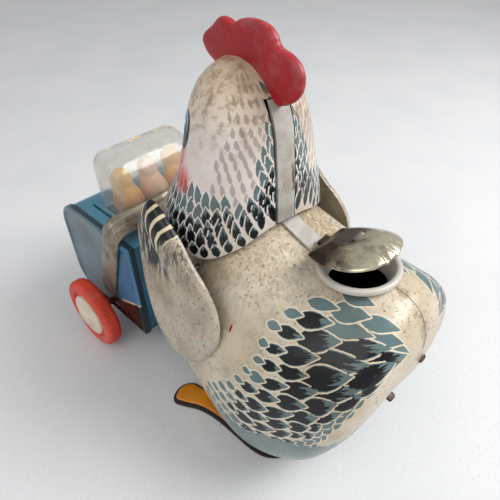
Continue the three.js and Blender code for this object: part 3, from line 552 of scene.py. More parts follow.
# ---- printed feathers ----
class Leaves:
    """Feathers placed on a surface: centre, direction of the tip, size and kind.

    Kinds: 0 lilac, 1 plain teal, 2 teal with a dark heart. A feather of lower rank lies over its
    neighbours.
    """

    def __init__(self, surface):
        self.surface = surface
        self.rows = []

    def frame_at(self, u, v, du, dv):
        step = 1e-3
        p = self.surface(u, v)
        a = (self.surface(u + step, v) - p) / step
        b = (self.surface(u, v + step) - p) / step
        return p, unit(a * du + b * dv), unit(np.cross(b, a))

    def put(self, where, towards, size, kind, rank, lean=0.0):
        p, tip, normal = self.frame_at(*where, *towards)
        side = np.cross(normal, tip)
        tip = unit(tip * math.cos(lean) + side * math.sin(lean))
        self.rows.append((p, tip, normal, (size[0] / 2, size[1] / 2, kind, rank)))

    def carried(self, turn, pin=(0, 0, 0)):
        """The same feathers under a turn or flip, given as a matrix, about a point."""
        twin = Leaves(self.surface)
        twin.rows = [(turn @ (p - pin) + pin, turn @ t, turn @ n, rest) for p, t, n, rest in self.rows]
        return twin

    def print_on(self, piece):
        """Gives every face corner its place in the two nearest feathers."""
        p, tip, normal = (np.array([r[i] for r in self.rows]) for i in range(3))
        half, wide, kind, rank = np.array([r[3] for r in self.rows], float).T
        side = np.cross(normal, tip)
        mesh = piece.data
        count = len(mesh.polygons)
        centre, facing = read(mesh.polygons, "center") / MM, read(mesh.polygons, "normal")

        nearest = np.zeros((count, 2), int)
        for start in range(0, count, 4000):
            part = slice(start, start + 4000)
            d = centre[part, None, :] - p[None]
            share = np.einsum("nki,ki->nk", d, tip) / half
            across = np.abs(np.einsum("nki,ki->nk", d, side))
            body = wide * np.maximum(1 - share**2, 0) * (1 - LEAF_POINT * share)
            far = across - body + np.maximum(np.abs(share) - 1, 0) * half
            far += 1000.0 * (facing[part] @ normal.T < FACING)
            pair = np.argsort(far, axis=1)[:, :2]
            swap = rank[pair[:, 0]] > rank[pair[:, 1]]
            pair[swap] = pair[swap, ::-1]
            nearest[part] = pair
        owner = np.repeat(np.arange(count), read(mesh.polygons, "loop_total", 1, int))
        spot = read(mesh.vertices, "co")[read(mesh.loops, "vertex_index", 1, int)] / MM
        for i, which in enumerate("ab"):
            leaf = nearest[owner, i]
            d = spot - p[leaf]
            along = np.einsum("ij,ij->i", d, tip[leaf])
            across = np.einsum("ij,ij->i", d, side[leaf])
            hidden = np.einsum("ij,ij->i", facing[owner], normal[leaf]) < FACING
            across = np.where(hidden, BESIDE, across)
            seed = np.sin(leaf * 12.9898) * 20
            place_in, look = (along, across, half[leaf]), (wide[leaf], kind[leaf], seed)
            for name, columns in (("leaf", place_in), ("look", look)):
                data = np.stack(columns, 1).astype(np.float32)
                layer = mesh.attributes.new(f"{name}_{which}", "FLOAT_VECTOR", "CORNER")
                layer.data.foreach_set("vector", data.ravel())


# ---- hen's body ----
def body_point(degrees, turn):
    """Point of the body's outside, degrees on the way from breast to tail, turned from the top."""
    half = (TAIL_Y - BREAST_Y) / 2
    y = (TAIL_Y + BREAST_Y) / 2 - half * np.cos(np.radians(degrees))
    wide = smooth(BODY_ANGLES, BODY_HALF_WIDTH, degrees)
    top = smooth(BODY_ANGLES, BODY_TOP, degrees)
    low = smooth(BODY_ANGLES, BODY_BOTTOM, degrees)
    middle = low + (top - low) * BODY_WIDEST_AT
    c = np.cos(turn)
    upper = c > 0
    n = np.where(upper, BODY_UPPER_POWER, smooth(BODY_ANGLES, BODY_LOWER_POWER, degrees))
    reach = np.where(upper, top - middle, middle - low)
    x = wide * power(np.sin(turn), n)
    z = middle + reach * power(c, n)
    return np.stack(np.broadcast_arrays(x, y, z), -1)


BODY_POLES = ((0, (0, -1, 0)), (-1, (0, 1, 0)))
BASE_OPENING = ((-26.3, -4.3, 0), (26.3, 66.3, 14))
POST_HOLE, KEY_HOLE = 13, 3.2


def body_grid(degrees, turn):
    """Points of the body's outside. Its first and last rows are single points, at breast and tail."""
    grid = body_point(degrees[:, None], turn[None, :])
    grid[0], grid[-1] = (0, BREAST_Y, BODY_TOP[0]), (0, TAIL_Y, BODY_TOP[-1])
    return grid


def ring_seat():
    profile = ((0.01, -10), (14.3, -10), (14.3, -1.9), (17.5, -1.9), (17.5, 30), (0.01, 30))
    return place(lathe("seat", profile), RING_PLACE)


def body_solid():
    """The body as one solid, grown by the gap, for cutting what sits on it."""
    grid = body_grid(np.linspace(0, 180, 80), np.arange(97) * 2 * math.pi / 96)
    grid = inwards(grid, -GAP, BODY_POLES)
    return loft("body_solid", list(grid[1:-1, :-1]), grid[0, 0], grid[-1, 0])


def body_half(word, side):
    """Half shell of the body with its holes. Its mirror image is the other half, but for the key's hole."""
    degrees = np.concatenate([np.linspace(0, 96, 80)[:-1], np.linspace(96, 180, 120)])
    turn = np.linspace(0, math.pi, 161)
    grid = body_grid(degrees, turn)
    inner = inwards(grid, SKIN, BODY_POLES)[:, ::4]
    for points in (grid, inner):
        points[..., 0] = side * np.maximum(points[..., 0], GAP / 2)
    piece = skin(f"hen_body_{word}", grid, inner)
    holes = [ring_seat(), block("opening", *BASE_OPENING)]
    holes.append(post_room(POST_HOLE))
    if side < 0:
        holes.append(place(bar("key", KEY_HOLE, 60), shift(-80, *ARBOR) @ SIDEWAYS))
    return cut(piece, *holes)


# Rows of printed feathers on the flank: turn about the body at the front and at the tail,
# angle where the row starts, feather lengths from front to tail, and kind of each.
FLANK_ROWS = (
    (15, 15, 124, (12,), "1"),
    (23, 19, 114, (12, 15, 15), "111"),
    (31, 25, 108, (8, 14, 18, 15), "1211"),
    (39, 32, 105, (6, 12, 18, 22, 14), "12221"),
    (47, 40, 105, (5, 9, 15, 23, 20), "12222"),
    (54, 48, 106, (5, 9, 14, 21, 22), "12222"),
    (61, 56, 103, (5, 8, 12, 15, 20, 15), "112222"),
    (67, 64, 101, (5, 9, 12, 15, 16, 14, 8), "1222221"),
    (73, 71, 98, (6, 8, 11, 14, 14, 13, 8, 6), "12222211"),
    (78, 77, 94, (6, 7, 9, 12, 13, 11, 8, 7, 6, 5), "1122222111"),
    (83, 82, 90, (6, 7, 8, 11, 12, 10, 8, 7, 6, 6, 5), "11222222111"),
    (88, 87, 86, (6, 7, 8, 9, 10, 9, 8, 7, 6, 6, 5, 5), "111122221111"),
    (92, 91, 84, (6, 6, 7, 8, 8, 8, 7, 6, 6, 6, 5, 5, 5), "1111112111111"),
    (96, 95, 84, (6, 6, 6, 7, 7, 7, 7, 6, 6, 6, 5, 5, 5), "1111111111111"),
    (100, 99, 86, (5, 5, 6, 6, 6, 6, 6, 5, 5, 5, 5, 5), "111111111111"),
)


def flank_leaves():
    """Lays out FLANK_ROWS, each feather a share of its length behind the last."""
    leaves = Leaves(body_point)
    for row, (front, tail, start, lengths, kinds) in enumerate(FLANK_ROWS):
        front, tail = math.radians(front), math.radians(tail)

        def turn_at(degrees, first=start):
            share = min(max((degrees - first) / (165 - first), 0), 1)
            return front + (tail - front) * share**1.4

        degrees = start
        for column, (length, kind) in enumerate(zip(lengths, kinds)):
            centre, travelled = None, 0.0
            while travelled < length * 0.80 and degrees < 178:
                if centre is None and travelled >= length * 0.4:
                    centre = degrees
                here = body_point(degrees, turn_at(degrees))
                degrees += 0.25
                travelled += np.linalg.norm(body_point(degrees, turn_at(degrees)) - here)
            if centre is None:
                break
            slope = turn_at(centre + 0.5) - turn_at(centre - 0.5)
            uneven = 1 + 0.14 * math.sin(5 * row + 3 * column)
            size = (length * (1.12 + 0.1 * math.sin(3 * row + 7 * column)), (0.38 * length + 1.3) * uneven)
            lean = 0.10 + 0.09 * math.sin(11 * column + 4 * row)
            leaves.put((centre, turn_at(centre)), (1.0, slope), size, int(kind), centre + 2 * uneven, lean)
    return leaves


def body_material(word, side):
    paint = Paint(f"litho_body_{word}")
    x, y, z = paint.axes()
    ground = paint.mix(paint.patches(22), CREAM, srgb(0.73, 0.67, 0.57))
    smudge = paint.times(paint.rise(z, 0.088, 0.108), paint.rise(y, 0.085, 0.05))
    streak = paint.noise(4.5, 4.0, 0.65, paint.stretched(1, 1, 0.35), 0.6)
    smudge = paint.times(smudge, paint.rise(streak, 0.47, 0.62))
    ground = paint.mix(paint.times(smudge, 0.7), ground, srgb(0.60, 0.58, 0.53))
    shoulder = paint.times(paint.rise(z, 0.104, 0.112), paint.rise(y, 0.070, 0.052))
    wave_place = paint.joined(x, paint.times(y, 0.45))
    swirl = paint.noise(5.0, 1.0, 0.4, wave_place, 1.2)
    wave = paint.math("SINE", paint.times(swirl, 62.0))
    down = paint.mix(paint.rise(wave, 0.45, 0.8), srgb(0.66, 0.60, 0.50), srgb(0.86, 0.82, 0.74))
    ground = paint.mix(paint.times(shoulder, 0.85 if side < 0 else 0.35), ground, down)
    speck = paint.times(paint.spots(1.5, 0.58), paint.patches(26, 0.40, 0.55))
    ground = paint.mix(paint.times(speck, 0.75), ground, srgb(0.45, 0.41, 0.34))
    grime = paint.times(paint.rise(paint.noise(11, 5.0, 0.7), 0.54, 0.70), 0.45)
    ground = paint.mix(grime, ground, srgb(0.56, 0.53, 0.47))
    colour = leaf_print(paint, ground, LINE, 0.66)
    limit = paint.plus(paint.times(paint.minus(y, 0.076), 0.36), 0.055)
    ragged = paint.plus(z, paint.between(paint.noise(3.0), -0.006, 0.006))
    under = paint.minus(limit, ragged)
    under = paint.times(paint.rise(under, -0.0006, 0.0010), paint.rise(y, 0.030, 0.052))
    colour = paint.mix(under, colour, paint.mix(paint.noise(16), TEAL, srgb(0.50, 0.56, 0.54)))
    seam = paint.rise(paint.size(x), 0.005, 0.0005)
    soil = paint.times(paint.rise(paint.noise(6, 5.0, 0.7), 0.44, 0.62), paint.times(seam, 0.6))
    colour = paint.mix(soil, colour, srgb(0.45, 0.35, 0.24))
    drip = paint.plus(paint.distance(42.6, 93, 0.6, 1.7), paint.between(paint.noise(1.6), -0.4, 0.4))
    colour = paint.mix(paint.rise(drip, 1.1, 0.9), colour, srgb(0.66, 0.10, 0.09))
    return enamel(paint, aged(paint, colour))


def shade_lining_material():
    """Inner face of the tin, painted near black as shade, in uneven patches."""
    paint = Paint("painted_shade_inside", Specular_IOR_Level=0.1)
    shade_patches = paint.rise(paint.noise(12, 4.0), 0.35, 0.7)
    shade = paint.mix(shade_patches, srgb(0.10, 0.09, 0.08), srgb(0.05, 0.045, 0.04))
    paint.set(Base_Color=shade, Roughness=paint.between(paint.noise(5), 0.6, 0.85))
    return paint.material


# Painted shade: the inner faces of the shells get a near-black lining.
SHADE_LINING = shade_lining_material()
leaves = flank_leaves()
for word, side in SIDES:
    body = body_half(word, side)
    leaves.carried(np.diag((side, 1, 1))).print_on(body)
    stands_for(body, "body", "litho_cream", body_material(word, side), f"body_shell_{word}")
    lined(body, (0, 5, 65), (0, 75, 80), SHADE_LINING)


# ---- hen's head ----
def hem_level(turn):
    """Height of the head's lower edge, turned from the nape."""
    left = smooth(HEM_TURNS, HEM_LEFT, np.abs(turn))
    return np.where(np.sin(turn) > 0, left, smooth(HEM_TURNS, HEM_RIGHT, np.abs(turn)))


def head_turned(piece):
    """The head sits a little turned about the upright line through its pivot."""
    spin = Matrix.Rotation(HEAD_TURN, 4, "Z")
    return place(piece, shift(0, HEAD_AXIS_Y, 0) @ spin @ shift(0, -HEAD_AXIS_Y, 0))


def head_at(turn, z):
    """Point of the head's outside, before it is turned."""
    wide = smooth(HEAD_LEVELS, HEAD_HALF_WIDTH, z)
    front = smooth(HEAD_LEVELS, HEAD_FRONT, z)
    rear = smooth(HEAD_LEVELS, HEAD_REAR, z)
    close = np.sqrt(np.clip((HEAD_TOP - z) / (HEAD_TOP - 185.4), 0, 1))
    y = CROWN_Y + ((front + rear) / 2 - CROWN_Y) * close + close * (rear - front) / 2 * np.cos(turn)
    return np.stack(np.broadcast_arrays(close * wide * np.sin(turn), y, z), -1)


def head_grid(turn, rows):
    """Points of the head's outside, rows from the hem to the crown, where they meet."""
    t = np.sin(math.pi / 2 * np.linspace(0, 1, rows)) ** 1.15
    hem = hem_level(turn)[None, :]
    z = hem + (HEAD_TOP - hem) * t[:, None]
    return head_at(np.broadcast_to(turn[None, :], z.shape), z)


def head_half(word, side):
    turn = np.linspace(0, math.pi, 161) * side
    outer = head_grid(turn, 96)
    inner = inwards(outer, SKIN * side, ((-1, (0, 0, side)),))[:, ::4]
    inner[0, :, 2] = outer[0, ::4, 2]
    for points in (outer, inner):
        points[..., 0] = side * np.maximum(side * points[..., 0], GAP / 2)
    piece = skin(f"hen_head_{word}", outer, inner)
    piece = cut(piece, block("nape", (-STRIP_HALF, 6, 100), (STRIP_HALF + 0.9, 60, STRIP_HIGH + 0.5)))
    return head_turned(piece)


def head_leaves(side):
    """Rows of upright feathers. They grow and darken towards the hem and the nape."""
    leaves = Leaves(head_at)
    level, row = 121.5, 0
    while level < 183:
        share = (level - 119) / 62
        tall = 11.4 - 5.0 * share if row else 6.0
        wide = 5.2 - 2.3 * share
        around = 38.0 - 17.0 * share
        pitch = wide / around
        turn = 0.14 + (pitch / 2 if row % 2 else 0.0)
        column = 0
        while turn < 2.8:
            waver = math.sin(12.9 * column + 7.3 * row)
            hem = float(hem_level(side * turn))
            z = level + (hem - 118) * max(0.0, 1 - 1.2 * share) + (0.9 * waver if row else 0.0)
            nape = max(0.0, 1 - turn / 0.62)
            dark = 139 + 24 * nape - 3 * min(1.0, max(0.0, (turn - 1.0) / 0.6)) + 4 * waver
            teal = dark + 4 + 40 * max(0.0, 1 - turn / 0.46)
            faint = 183 - 43 * min(1.0, max(0.0, (turn - 0.85) / 0.3))
            kind = 2 if z < dark else 1 if z < teal else 0 if z < faint else None
            if kind is not None and z - tall * 0.5 > hem + 0.2:
                spread = (tall * (1.02 + 0.12 * waver), wide * (0.86 - 0.12 * waver))
                if kind == 0:
                    spread = (0.62 * spread[0], 0.58 * spread[1])
                lean = side * (0.26 + 0.1 * math.sin(9.1 * column + row))
                leaves.put((side * turn, z), (0.0, 1.0), spread, kind, z, lean)
            turn += pitch
            column += 1
        level += tall * 0.51 if row else 4.6
        row += 1
    return leaves


def head_material():
    paint = Paint("litho_head")
    spin = {"Vector": paint.place, "Center": (0, HEAD_AXIS_Y * MM, 0), "Angle": -HEAD_TURN}
    paint.place = paint.add("ShaderNodeVectorRotate", spin, rotation_type="Z_AXIS").outputs[0]
    z = paint.axes()[2]
    cloudy = paint.rise(paint.noise(24, 2.0), 0.3, 0.7)
    ground = paint.mix(cloudy, srgb(0.86, 0.82, 0.79), srgb(0.80, 0.755, 0.725))
    colour = leaf_print(paint, ground, srgb(0.87, 0.83, 0.81))
    colour = paint.mix(paint.rise(z, 0.160, 0.186), colour, srgb(0.90, 0.84, 0.74), "MULTIPLY")
    stain = paint.times(paint.rise(z, 0.150, 0.176), paint.rise(paint.noise(3.6, 5.0, 0.7), 0.46, 0.66))
    colour = paint.mix(paint.times(stain, 0.75), colour, srgb(0.52, 0.43, 0.31))
    spray = paint.plus(paint.distance(10, 146, 6.5, 6.0), paint.between(paint.noise(2.2, 4.0), -0.5, 0.5))
    upper = paint.plus(paint.distance(6, 153, 4.5, 9.0), paint.between(paint.noise(2.2, 4.0), -0.5, 0.5))
    cheek = paint.rise(paint.math("MINIMUM", spray, upper), 1.3, 0.3)
    colour = paint.mix(paint.times(cheek, 0.75), colour, srgb(0.78, 0.22, 0.22))
    rings = (
        ((5.0, 163.0, 5.4, 7.4), INK),
        ((3.6, 164.2, 4.4, 5.6), srgb(0.62, 0.76, 0.82)),
        ((3.4, 164.4, 3.8, 4.9), srgb(0.24, 0.50, 0.62)),
        ((4.2, 162.4, 3.6, 4.5), INK),
        ((3.8, 165.4, 0.8, 1.2), srgb(0.93, 0.94, 0.93)),
    )
    for where, shade in rings:
        colour = paint.mix(paint.rise(paint.distance(*where), 1.03, 0.97), colour, shade)
    return enamel(paint, aged(paint, colour, 0.8), (0.24, 0.40), 0.15)


COS, SIN = math.cos(HEAD_TURN), math.sin(HEAD_TURN)
HEAD_SPIN = np.array(((COS, -SIN, 0), (SIN, COS, 0), (0, 0, 1)))
look = head_material()
for word, side in SIDES:
    head = head_half(word, side)
    head_leaves(side).carried(HEAD_SPIN, (0, HEAD_AXIS_Y, 0)).print_on(head)
    stands_for(head, "head", "litho_head", look, f"head_shell_{word}")
    lined(head, (0, 8, 100), (0, 9, 160), SHADE_LINING)


# ---- wings ----
WING_OUTLINE = (
    (-3.5, 136.6), (-8.7, 131), (-11.2, 124), (-11.4, 115), (-10.4, 104), (-7.6, 89), (0, 70.5),
    (12, 60.5), (24, 61.5), (33, 70), (39.4, 82), (40.4, 93), (38, 102), (31.6, 110.5), (23.5, 117),
    (16.3, 124.5), (9, 130.3), (1.4, 135.4),
)
WING_CENTRE = np.array((17.0, 94.0))
WING_TALL = 6.0


def wing_face(z):
    """How far out the wing's back lies."""
    return 51.4 - 0.119 * (z - 60)


def wing(word, side):
    """Hollow stamping: rings from the middle of its inside over the rim to the middle of its outside."""
    outline = spline(WING_OUTLINE, 180)
    rings = []

    def ring(s, height, narrower=0.0):
        flat = shrunk(outline, WING_CENTRE, s, narrower)
        x = side * (wing_face(flat[:, 1]) + height)
        rings.append(np.column_stack([x, flat]))

    def raised(s):
        rim = 0.22 + 0.78 * (1 - s**4) ** 0.5
        return WING_TALL * (rim - 0.12 * math.exp(-(((s - 0.45) / 0.28) ** 2)))

    steps = np.sin(np.linspace(0, math.pi / 2, 30))[1:]
    for s in steps:
        ring(s, raised(s) - SKIN, SKIN)
    ring(1, 0.1, 0.5)
    ring(1, 0.1, 0.1)
    ring(1, 0.6, 0.0)
    for s in steps[::-1]:
        ring(s, raised(s))
    middle, top = wing_face(WING_CENTRE[1]), raised(0)
    ends = [np.array((side * (middle + h), *WING_CENTRE)) for h in (top - SKIN, top)]
    return loft(f"hen_wing_{word}", rings, *ends, sharp=50)


def wing_material():
    paint = Paint("litho_wing")
    _, y, z = paint.axes()
    fleck = paint.noise(1.1, 4.0, 0.75, paint.stretched(1, 1, 0.6))
    cloudy = paint.patches(18, 0.38, 0.66)
    ground = paint.mix(cloudy, srgb(0.72, 0.675, 0.60), srgb(0.62, 0.575, 0.51))
    ground = paint.mix(paint.rise(fleck, 0.55, 0.64), ground, srgb(0.38, 0.36, 0.32))
    streak = paint.noise(1.7, 3.0, 0.6, paint.stretched(1, 1, 0.13))
    high = paint.minus(z, paint.times(y, 0.68))
    long_streak = paint.times(paint.rise(streak, 0.50, 0.56), paint.rise(high, 0.086, 0.112))
    ground = paint.mix(paint.times(long_streak, 0.8), ground, srgb(0.24, 0.25, 0.25))
    # Flight feathers curve out of the rear edge and down, each offset from the next.
    sum_yz = paint.plus(paint.times(paint.plus(y, z), 1000.0), -126.0)
    root = paint.math("MAXIMUM", paint.plus(paint.times(sum_yz, 0.26), 1.0), 0.0)
    bend = paint.math("DIVIDE", paint.minus(paint.math("SQRT", root), 1.0), 0.13)
    line_at = paint.minus(bend, paint.minus(paint.times(z, 1000.0), 126.0))
    line_at = paint.plus(line_at, paint.between(paint.noise(4, 2.0), -0.4, 0.4))
    turns = paint.math("FRACT", paint.math("DIVIDE", paint.plus(line_at, 13.7), 3.7))
    seam = paint.rise(paint.size(paint.minus(turns, 0.5)), 0.33, 0.37)
    light = paint.times(paint.rise(streak, 0.58, 0.64), paint.rise(turns, 0.45, 0.8))
    feather = paint.mix(paint.times(light, 0.8), INK, TEAL)
    feather = paint.mix(seam, feather, srgb(0.84, 0.79, 0.66))
    ragged = paint.plus(high, paint.between(streak, -0.008, 0.008))
    reach = paint.times(paint.rise(ragged, 0.1155, 0.1175), paint.rise(line_at, 8.6, 8.2))
    reach = paint.times(reach, paint.rise(sum_yz, -4.5, -3.5))
    colour = paint.mix(reach, ground, feather)
    front = paint.times(paint.rise(sum_yz, -3.5, -4.5), paint.rise(z, 0.104, 0.112))
    front = paint.times(front, paint.rise(streak, 0.44, 0.48))
    colour = paint.mix(front, colour, INK)
    nick = paint.rise(paint.plus(paint.distance(34.5, 88.5, 0.5, 1.4), paint.noise(1.5)), 1.4, 1.1)
    colour = paint.mix(nick, colour, srgb(0.72, 0.16, 0.10))
    return enamel(paint, aged(paint, colour), (0.20, 0.36), 0.2)


look = wing_material()
for word, side in SIDES:
    piece = cut(wing(word, side), body_solid(), sharp=50)
    stands_for(piece, f"wing_{word}", "litho_wing", look, f"wing_{word}")


# ---- strips, comb, beak and wattles ----
def head_solid():
    """The head as one solid, grown by the gap, for cutting what sits on it."""
    turn = circle(160) - math.pi
    grid = head_grid(turn, 80)
    closed = np.concatenate([grid[:, -1:], grid, grid[:, :1]], axis=1)
    grid = inwards(closed, -GAP, CROWN_POLE)[:, 1:-1]
    return loft("head_solid", list(grid[:-1]), np.array((0, 7, 112)), grid[-1, 0])


def grey_tin_material():
    paint = Paint("grey_tin", Metallic=0.15)
    x, _, z = paint.axes()
    shade = paint.mix(paint.patches(9), srgb(0.72, 0.70, 0.67), srgb(0.63, 0.60, 0.565))
    grain = paint.noise(1.4, 4.0, 0.7, paint.stretched(1, 1, 0.2))
    shade = paint.mix(paint.rise(grain, 0.60, 0.72), shade, srgb(0.50, 0.45, 0.39))
    slit = paint.times(paint.rise(z, 0.139, 0.141), paint.rise(z, 0.153, 0.150))
    slit = paint.times(slit, paint.rise(paint.noise(2.5), 0.42, 0.5))
    edge = paint.rise(paint.size(paint.plus(x, -0.0008)), 0.0010, 0.0004)
    shade = paint.mix(paint.times(slit, edge), shade, RUST)
    shade = paint.mix(paint.times(paint.spots(1.2, 0.66), 0.7), shade, RUST)
    paint.set(Base_Color=shade, Roughness=paint.between(paint.noise(6, 4.0), 0.26, 0.5))
    paint.set(Normal=paint.bump(paint.noise(5), 0.12))
    return paint.material


def neck_strip():
    turn = np.linspace(-0.5, 0.5, 41)
    grid = head_grid(turn, 100)
    level = grid[..., 2]
    proud = np.clip((176 - level) / 5, 0, 1) * 1.1 - 0.35
    grid_out = inwards(grid, -proud[..., None], CROWN_POLE)
    grid_in = inwards(grid, 0.95, CROWN_POLE)
    return skin("hen_neck_strip", grid_out, grid_in)


GREY_TIN = grey_tin_material()
half_strip = STRIP_HALF - 0.5
room = block("room", (-half_strip, 6.4, STRIP_LOW), (half_strip, 60, STRIP_HIGH))
band = combined(neck_strip(), room, operation="INTERSECT")
stands_for(head_turned(softened(band, 0.35)), "head", "grey_tin", GREY_TIN, "neck_strip")


def back_strip():
    degrees = np.linspace(60, 120, 90)
    turn = np.linspace(-0.3, 0.3, 41)
    grid = body_point(degrees[:, None], turn[None, :])
    return skin("hen_back_strip", inwards(grid, -1.3), inwards(grid, -GAP))


room = block("room", (-half_strip, 24, 90), (half_strip, 53.6, 140))
band = combined(back_strip(), room, operation="INTERSECT")
band = cut(band, ring_seat(), post_room(POST_HOLE + GAP))
stands_for(softened(band, 0.3), "body", "grey_tin", GREY_TIN, "back_strip")

COMB_OUTLINE = (
    (-17, 186.8), (-14, 183.2), (-8, 180.6), (-2, 179.6), (12, 179.4), (23, 176.8), (31, 174.6),
    (38, 177.4), (42.2, 182), (43, 187), (41, 191), (36.6, 193.4), (31.8, 194.4), (29.6, 195.6),
    (28.4, 197.6), (25.2, 200), (20, 201), (13.6, 200.8), (8.4, 199.4), (4, 197.4), (-0.4, 198.4),
    (-4.4, 197.8), (-9.4, 194), (-15.4, 189.9),
)
COMB_HALF, COMB_RIM = 2.6, 0.35


def comb():
    """Cushioned slab: rings from the middle of one face over the rim to the middle of the other."""
    outline = spline(COMB_OUTLINE, 220)
    centre = np.array((14.0, 187.0))
    steps = np.sin(np.linspace(0, math.pi / 2, 22))[1:]
    rings = []

    def ring(s, x):
        flat = shrunk(outline, centre, s)
        rings.append(np.column_stack([np.full(len(flat), x), flat]))

    def thick(s):
        return COMB_RIM + (COMB_HALF - COMB_RIM) * (1 - s**9) ** 0.5

    for s in steps[:-1]:
        ring(s, thick(s))
    ring(1, COMB_RIM)
    ring(1, -COMB_RIM)
    for s in steps[-2::-1]:
        ring(s, -thick(s))
    ends = [np.array((x, *centre)) for x in (COMB_HALF, -COMB_HALF)]
    piece = loft("hen_comb", rings, *ends, sharp=60)
    return head_turned(cut(piece, head_solid(), sharp=60))


def plastic(name, colour, roughness=(0.28, 0.45), deep=0.0, dust=0.25, rub=0.0):
    """Moulded plastic: soft gloss, fine scratches, pale rubbed patches."""
    paint = Paint(name)
    dark = tuple(c * 0.80 for c in colour[:3]) + (1.0,)
    pale = tuple(0.55 * c + 0.45 * 0.62 for c in colour[:3]) + (1.0,)
    shade = paint.mix(paint.patches(16), colour, dark)
    rubbed = paint.times(paint.rise(paint.noise(13, 4.0, 0.6), 0.50, 0.66), rub)
    shade = paint.mix(rubbed, shade, pale)
    speck = paint.times(paint.spots(1.0, 0.67), dust)
    shade = paint.mix(speck, shade, srgb(0.40, 0.33, 0.26))
    scratch = paint.noise(0.7, 3.0, 0.7, paint.stretched(1, 0.2, 1))
    gloss = paint.plus(paint.between(paint.noise(7, 4.0), *roughness), paint.between(scratch, -0.05, 0.08))
    if deep:
        paint.set(Subsurface_Weight=deep, Subsurface_Radius=(1.0, 0.4, 0.3), Subsurface_Scale=0.0015)
    paint.set(Base_Color=shade, Roughness=gloss, Normal=paint.bump(paint.noise(3), 0.04))
    return paint.material


COMB_RED = plastic("comb_red", srgb(0.62, 0.02, 0.08), (0.34, 0.50), 0.15, 0.05, 0.14)
stands_for(comb(), "head", "red_plastic", COMB_RED, "comb")


def beak_blank(grow=0.0):
    rings = []
    turn = circle(48)
    for t in np.linspace(0, 0.985, 26):
        r = 6.4 * (1 - t) ** 0.8 + grow
        mouth = 0.10 * np.exp(-((np.abs(np.sin(turn + 0.12)) / 0.10) ** 2)) * (1 - t)
        x = r * 0.85 * np.cos(turn) * (1 - mouth)
        z = 152 - 5 * t * t + r * 0.8 * np.sin(turn)
        rings.append(np.column_stack([x, np.full(48, -6 - 22 * t), z]))
    return loft("hen_beak", rings, np.array((0, -6, 152)), np.array((0, -28.2, 146.7)), sharp=60)


WATTLE_Y = -17.6


def wattles():
    def drop(x):
        rings = []
        turn = circle(40)
        for a in np.linspace(0, math.pi, 24)[1:-1]:
            z = 138.6 + 7 * math.cos(a)
            r = math.sin(a) * (1.06 - 0.16 * math.cos(a))
            px, py = x + 3.4 * r * np.cos(turn), WATTLE_Y + 3 * r * np.sin(turn)
            rings.append(np.column_stack([px, py, 0 * turn + z]))
        ends = [np.array((x, WATTLE_Y, z)) for z in (145.6, 131.6)]
        return loft("hen_wattle", rings, *ends, sharp=60)

    return combined(drop(3), drop(-3), sharp=60)


BEAK_YELLOW = plastic("beak_yellow", srgb(0.86, 0.60, 0.16), (0.25, 0.42), 0.1, 0.2)
beak = head_turned(cut(beak_blank(), head_solid(), sharp=60))
stands_for(beak, "head", "yellow_plastic", BEAK_YELLOW, "beak")

# ---- ring and lid on the back ----
profile = (
    (RING_BORE, -9), (14, -9), (14, -1.6), (16.9, -1.6), (17.15, -1.35), (RING_RADIUS, -0.9),
    (RING_RADIUS, 0.0), (17.0, 0.5), (16.5, 0.85), (15.9, 0.95), (15.2, 0.85), (14.6, 0.4), (13.9, -0.7),
    (RING_BORE, -2.6),
)
piece = place(lathe("hen_ring", profile, 128, 50), RING_PLACE)
RING_WHITE = plastic("ring_white", srgb(0.80, 0.775, 0.73), (0.22, 0.38), 0.25, 0.15)
stands_for(piece, "body", "white_plastic", RING_WHITE, "opening_ring")

LID_OUTLINE = (
    (0, -17.2), (-6, -17.2), (-10.6, -17), (-12, -15.8), (-14.8, -9), (-16.2, -1), (-15.2, 7), (-10, 13.2),
    (0, 15.8), (10, 13.2), (15.2, 7), (16.2, -1), (14.8, -9), (12, -15.8), (10.6, -17), (6, -17.2),
)
LID_CENTRE = np.array((0.0, 1.0))
LID_TALL = 5.4
LID_SKIN = 0.8


def on_lid(u, v, h):
    """Point on the leaning lid: u across, v along, h above its rim."""
    along, above = v + 18.4, h + 0.3
    y = LID_HINGE[1] + along * math.cos(LID_LEAN) - above * math.sin(LID_LEAN)
    z = LID_HINGE[2] + along * math.sin(LID_LEAN) + above * math.cos(LID_LEAN)
    return np.stack([u, y, z], -1)


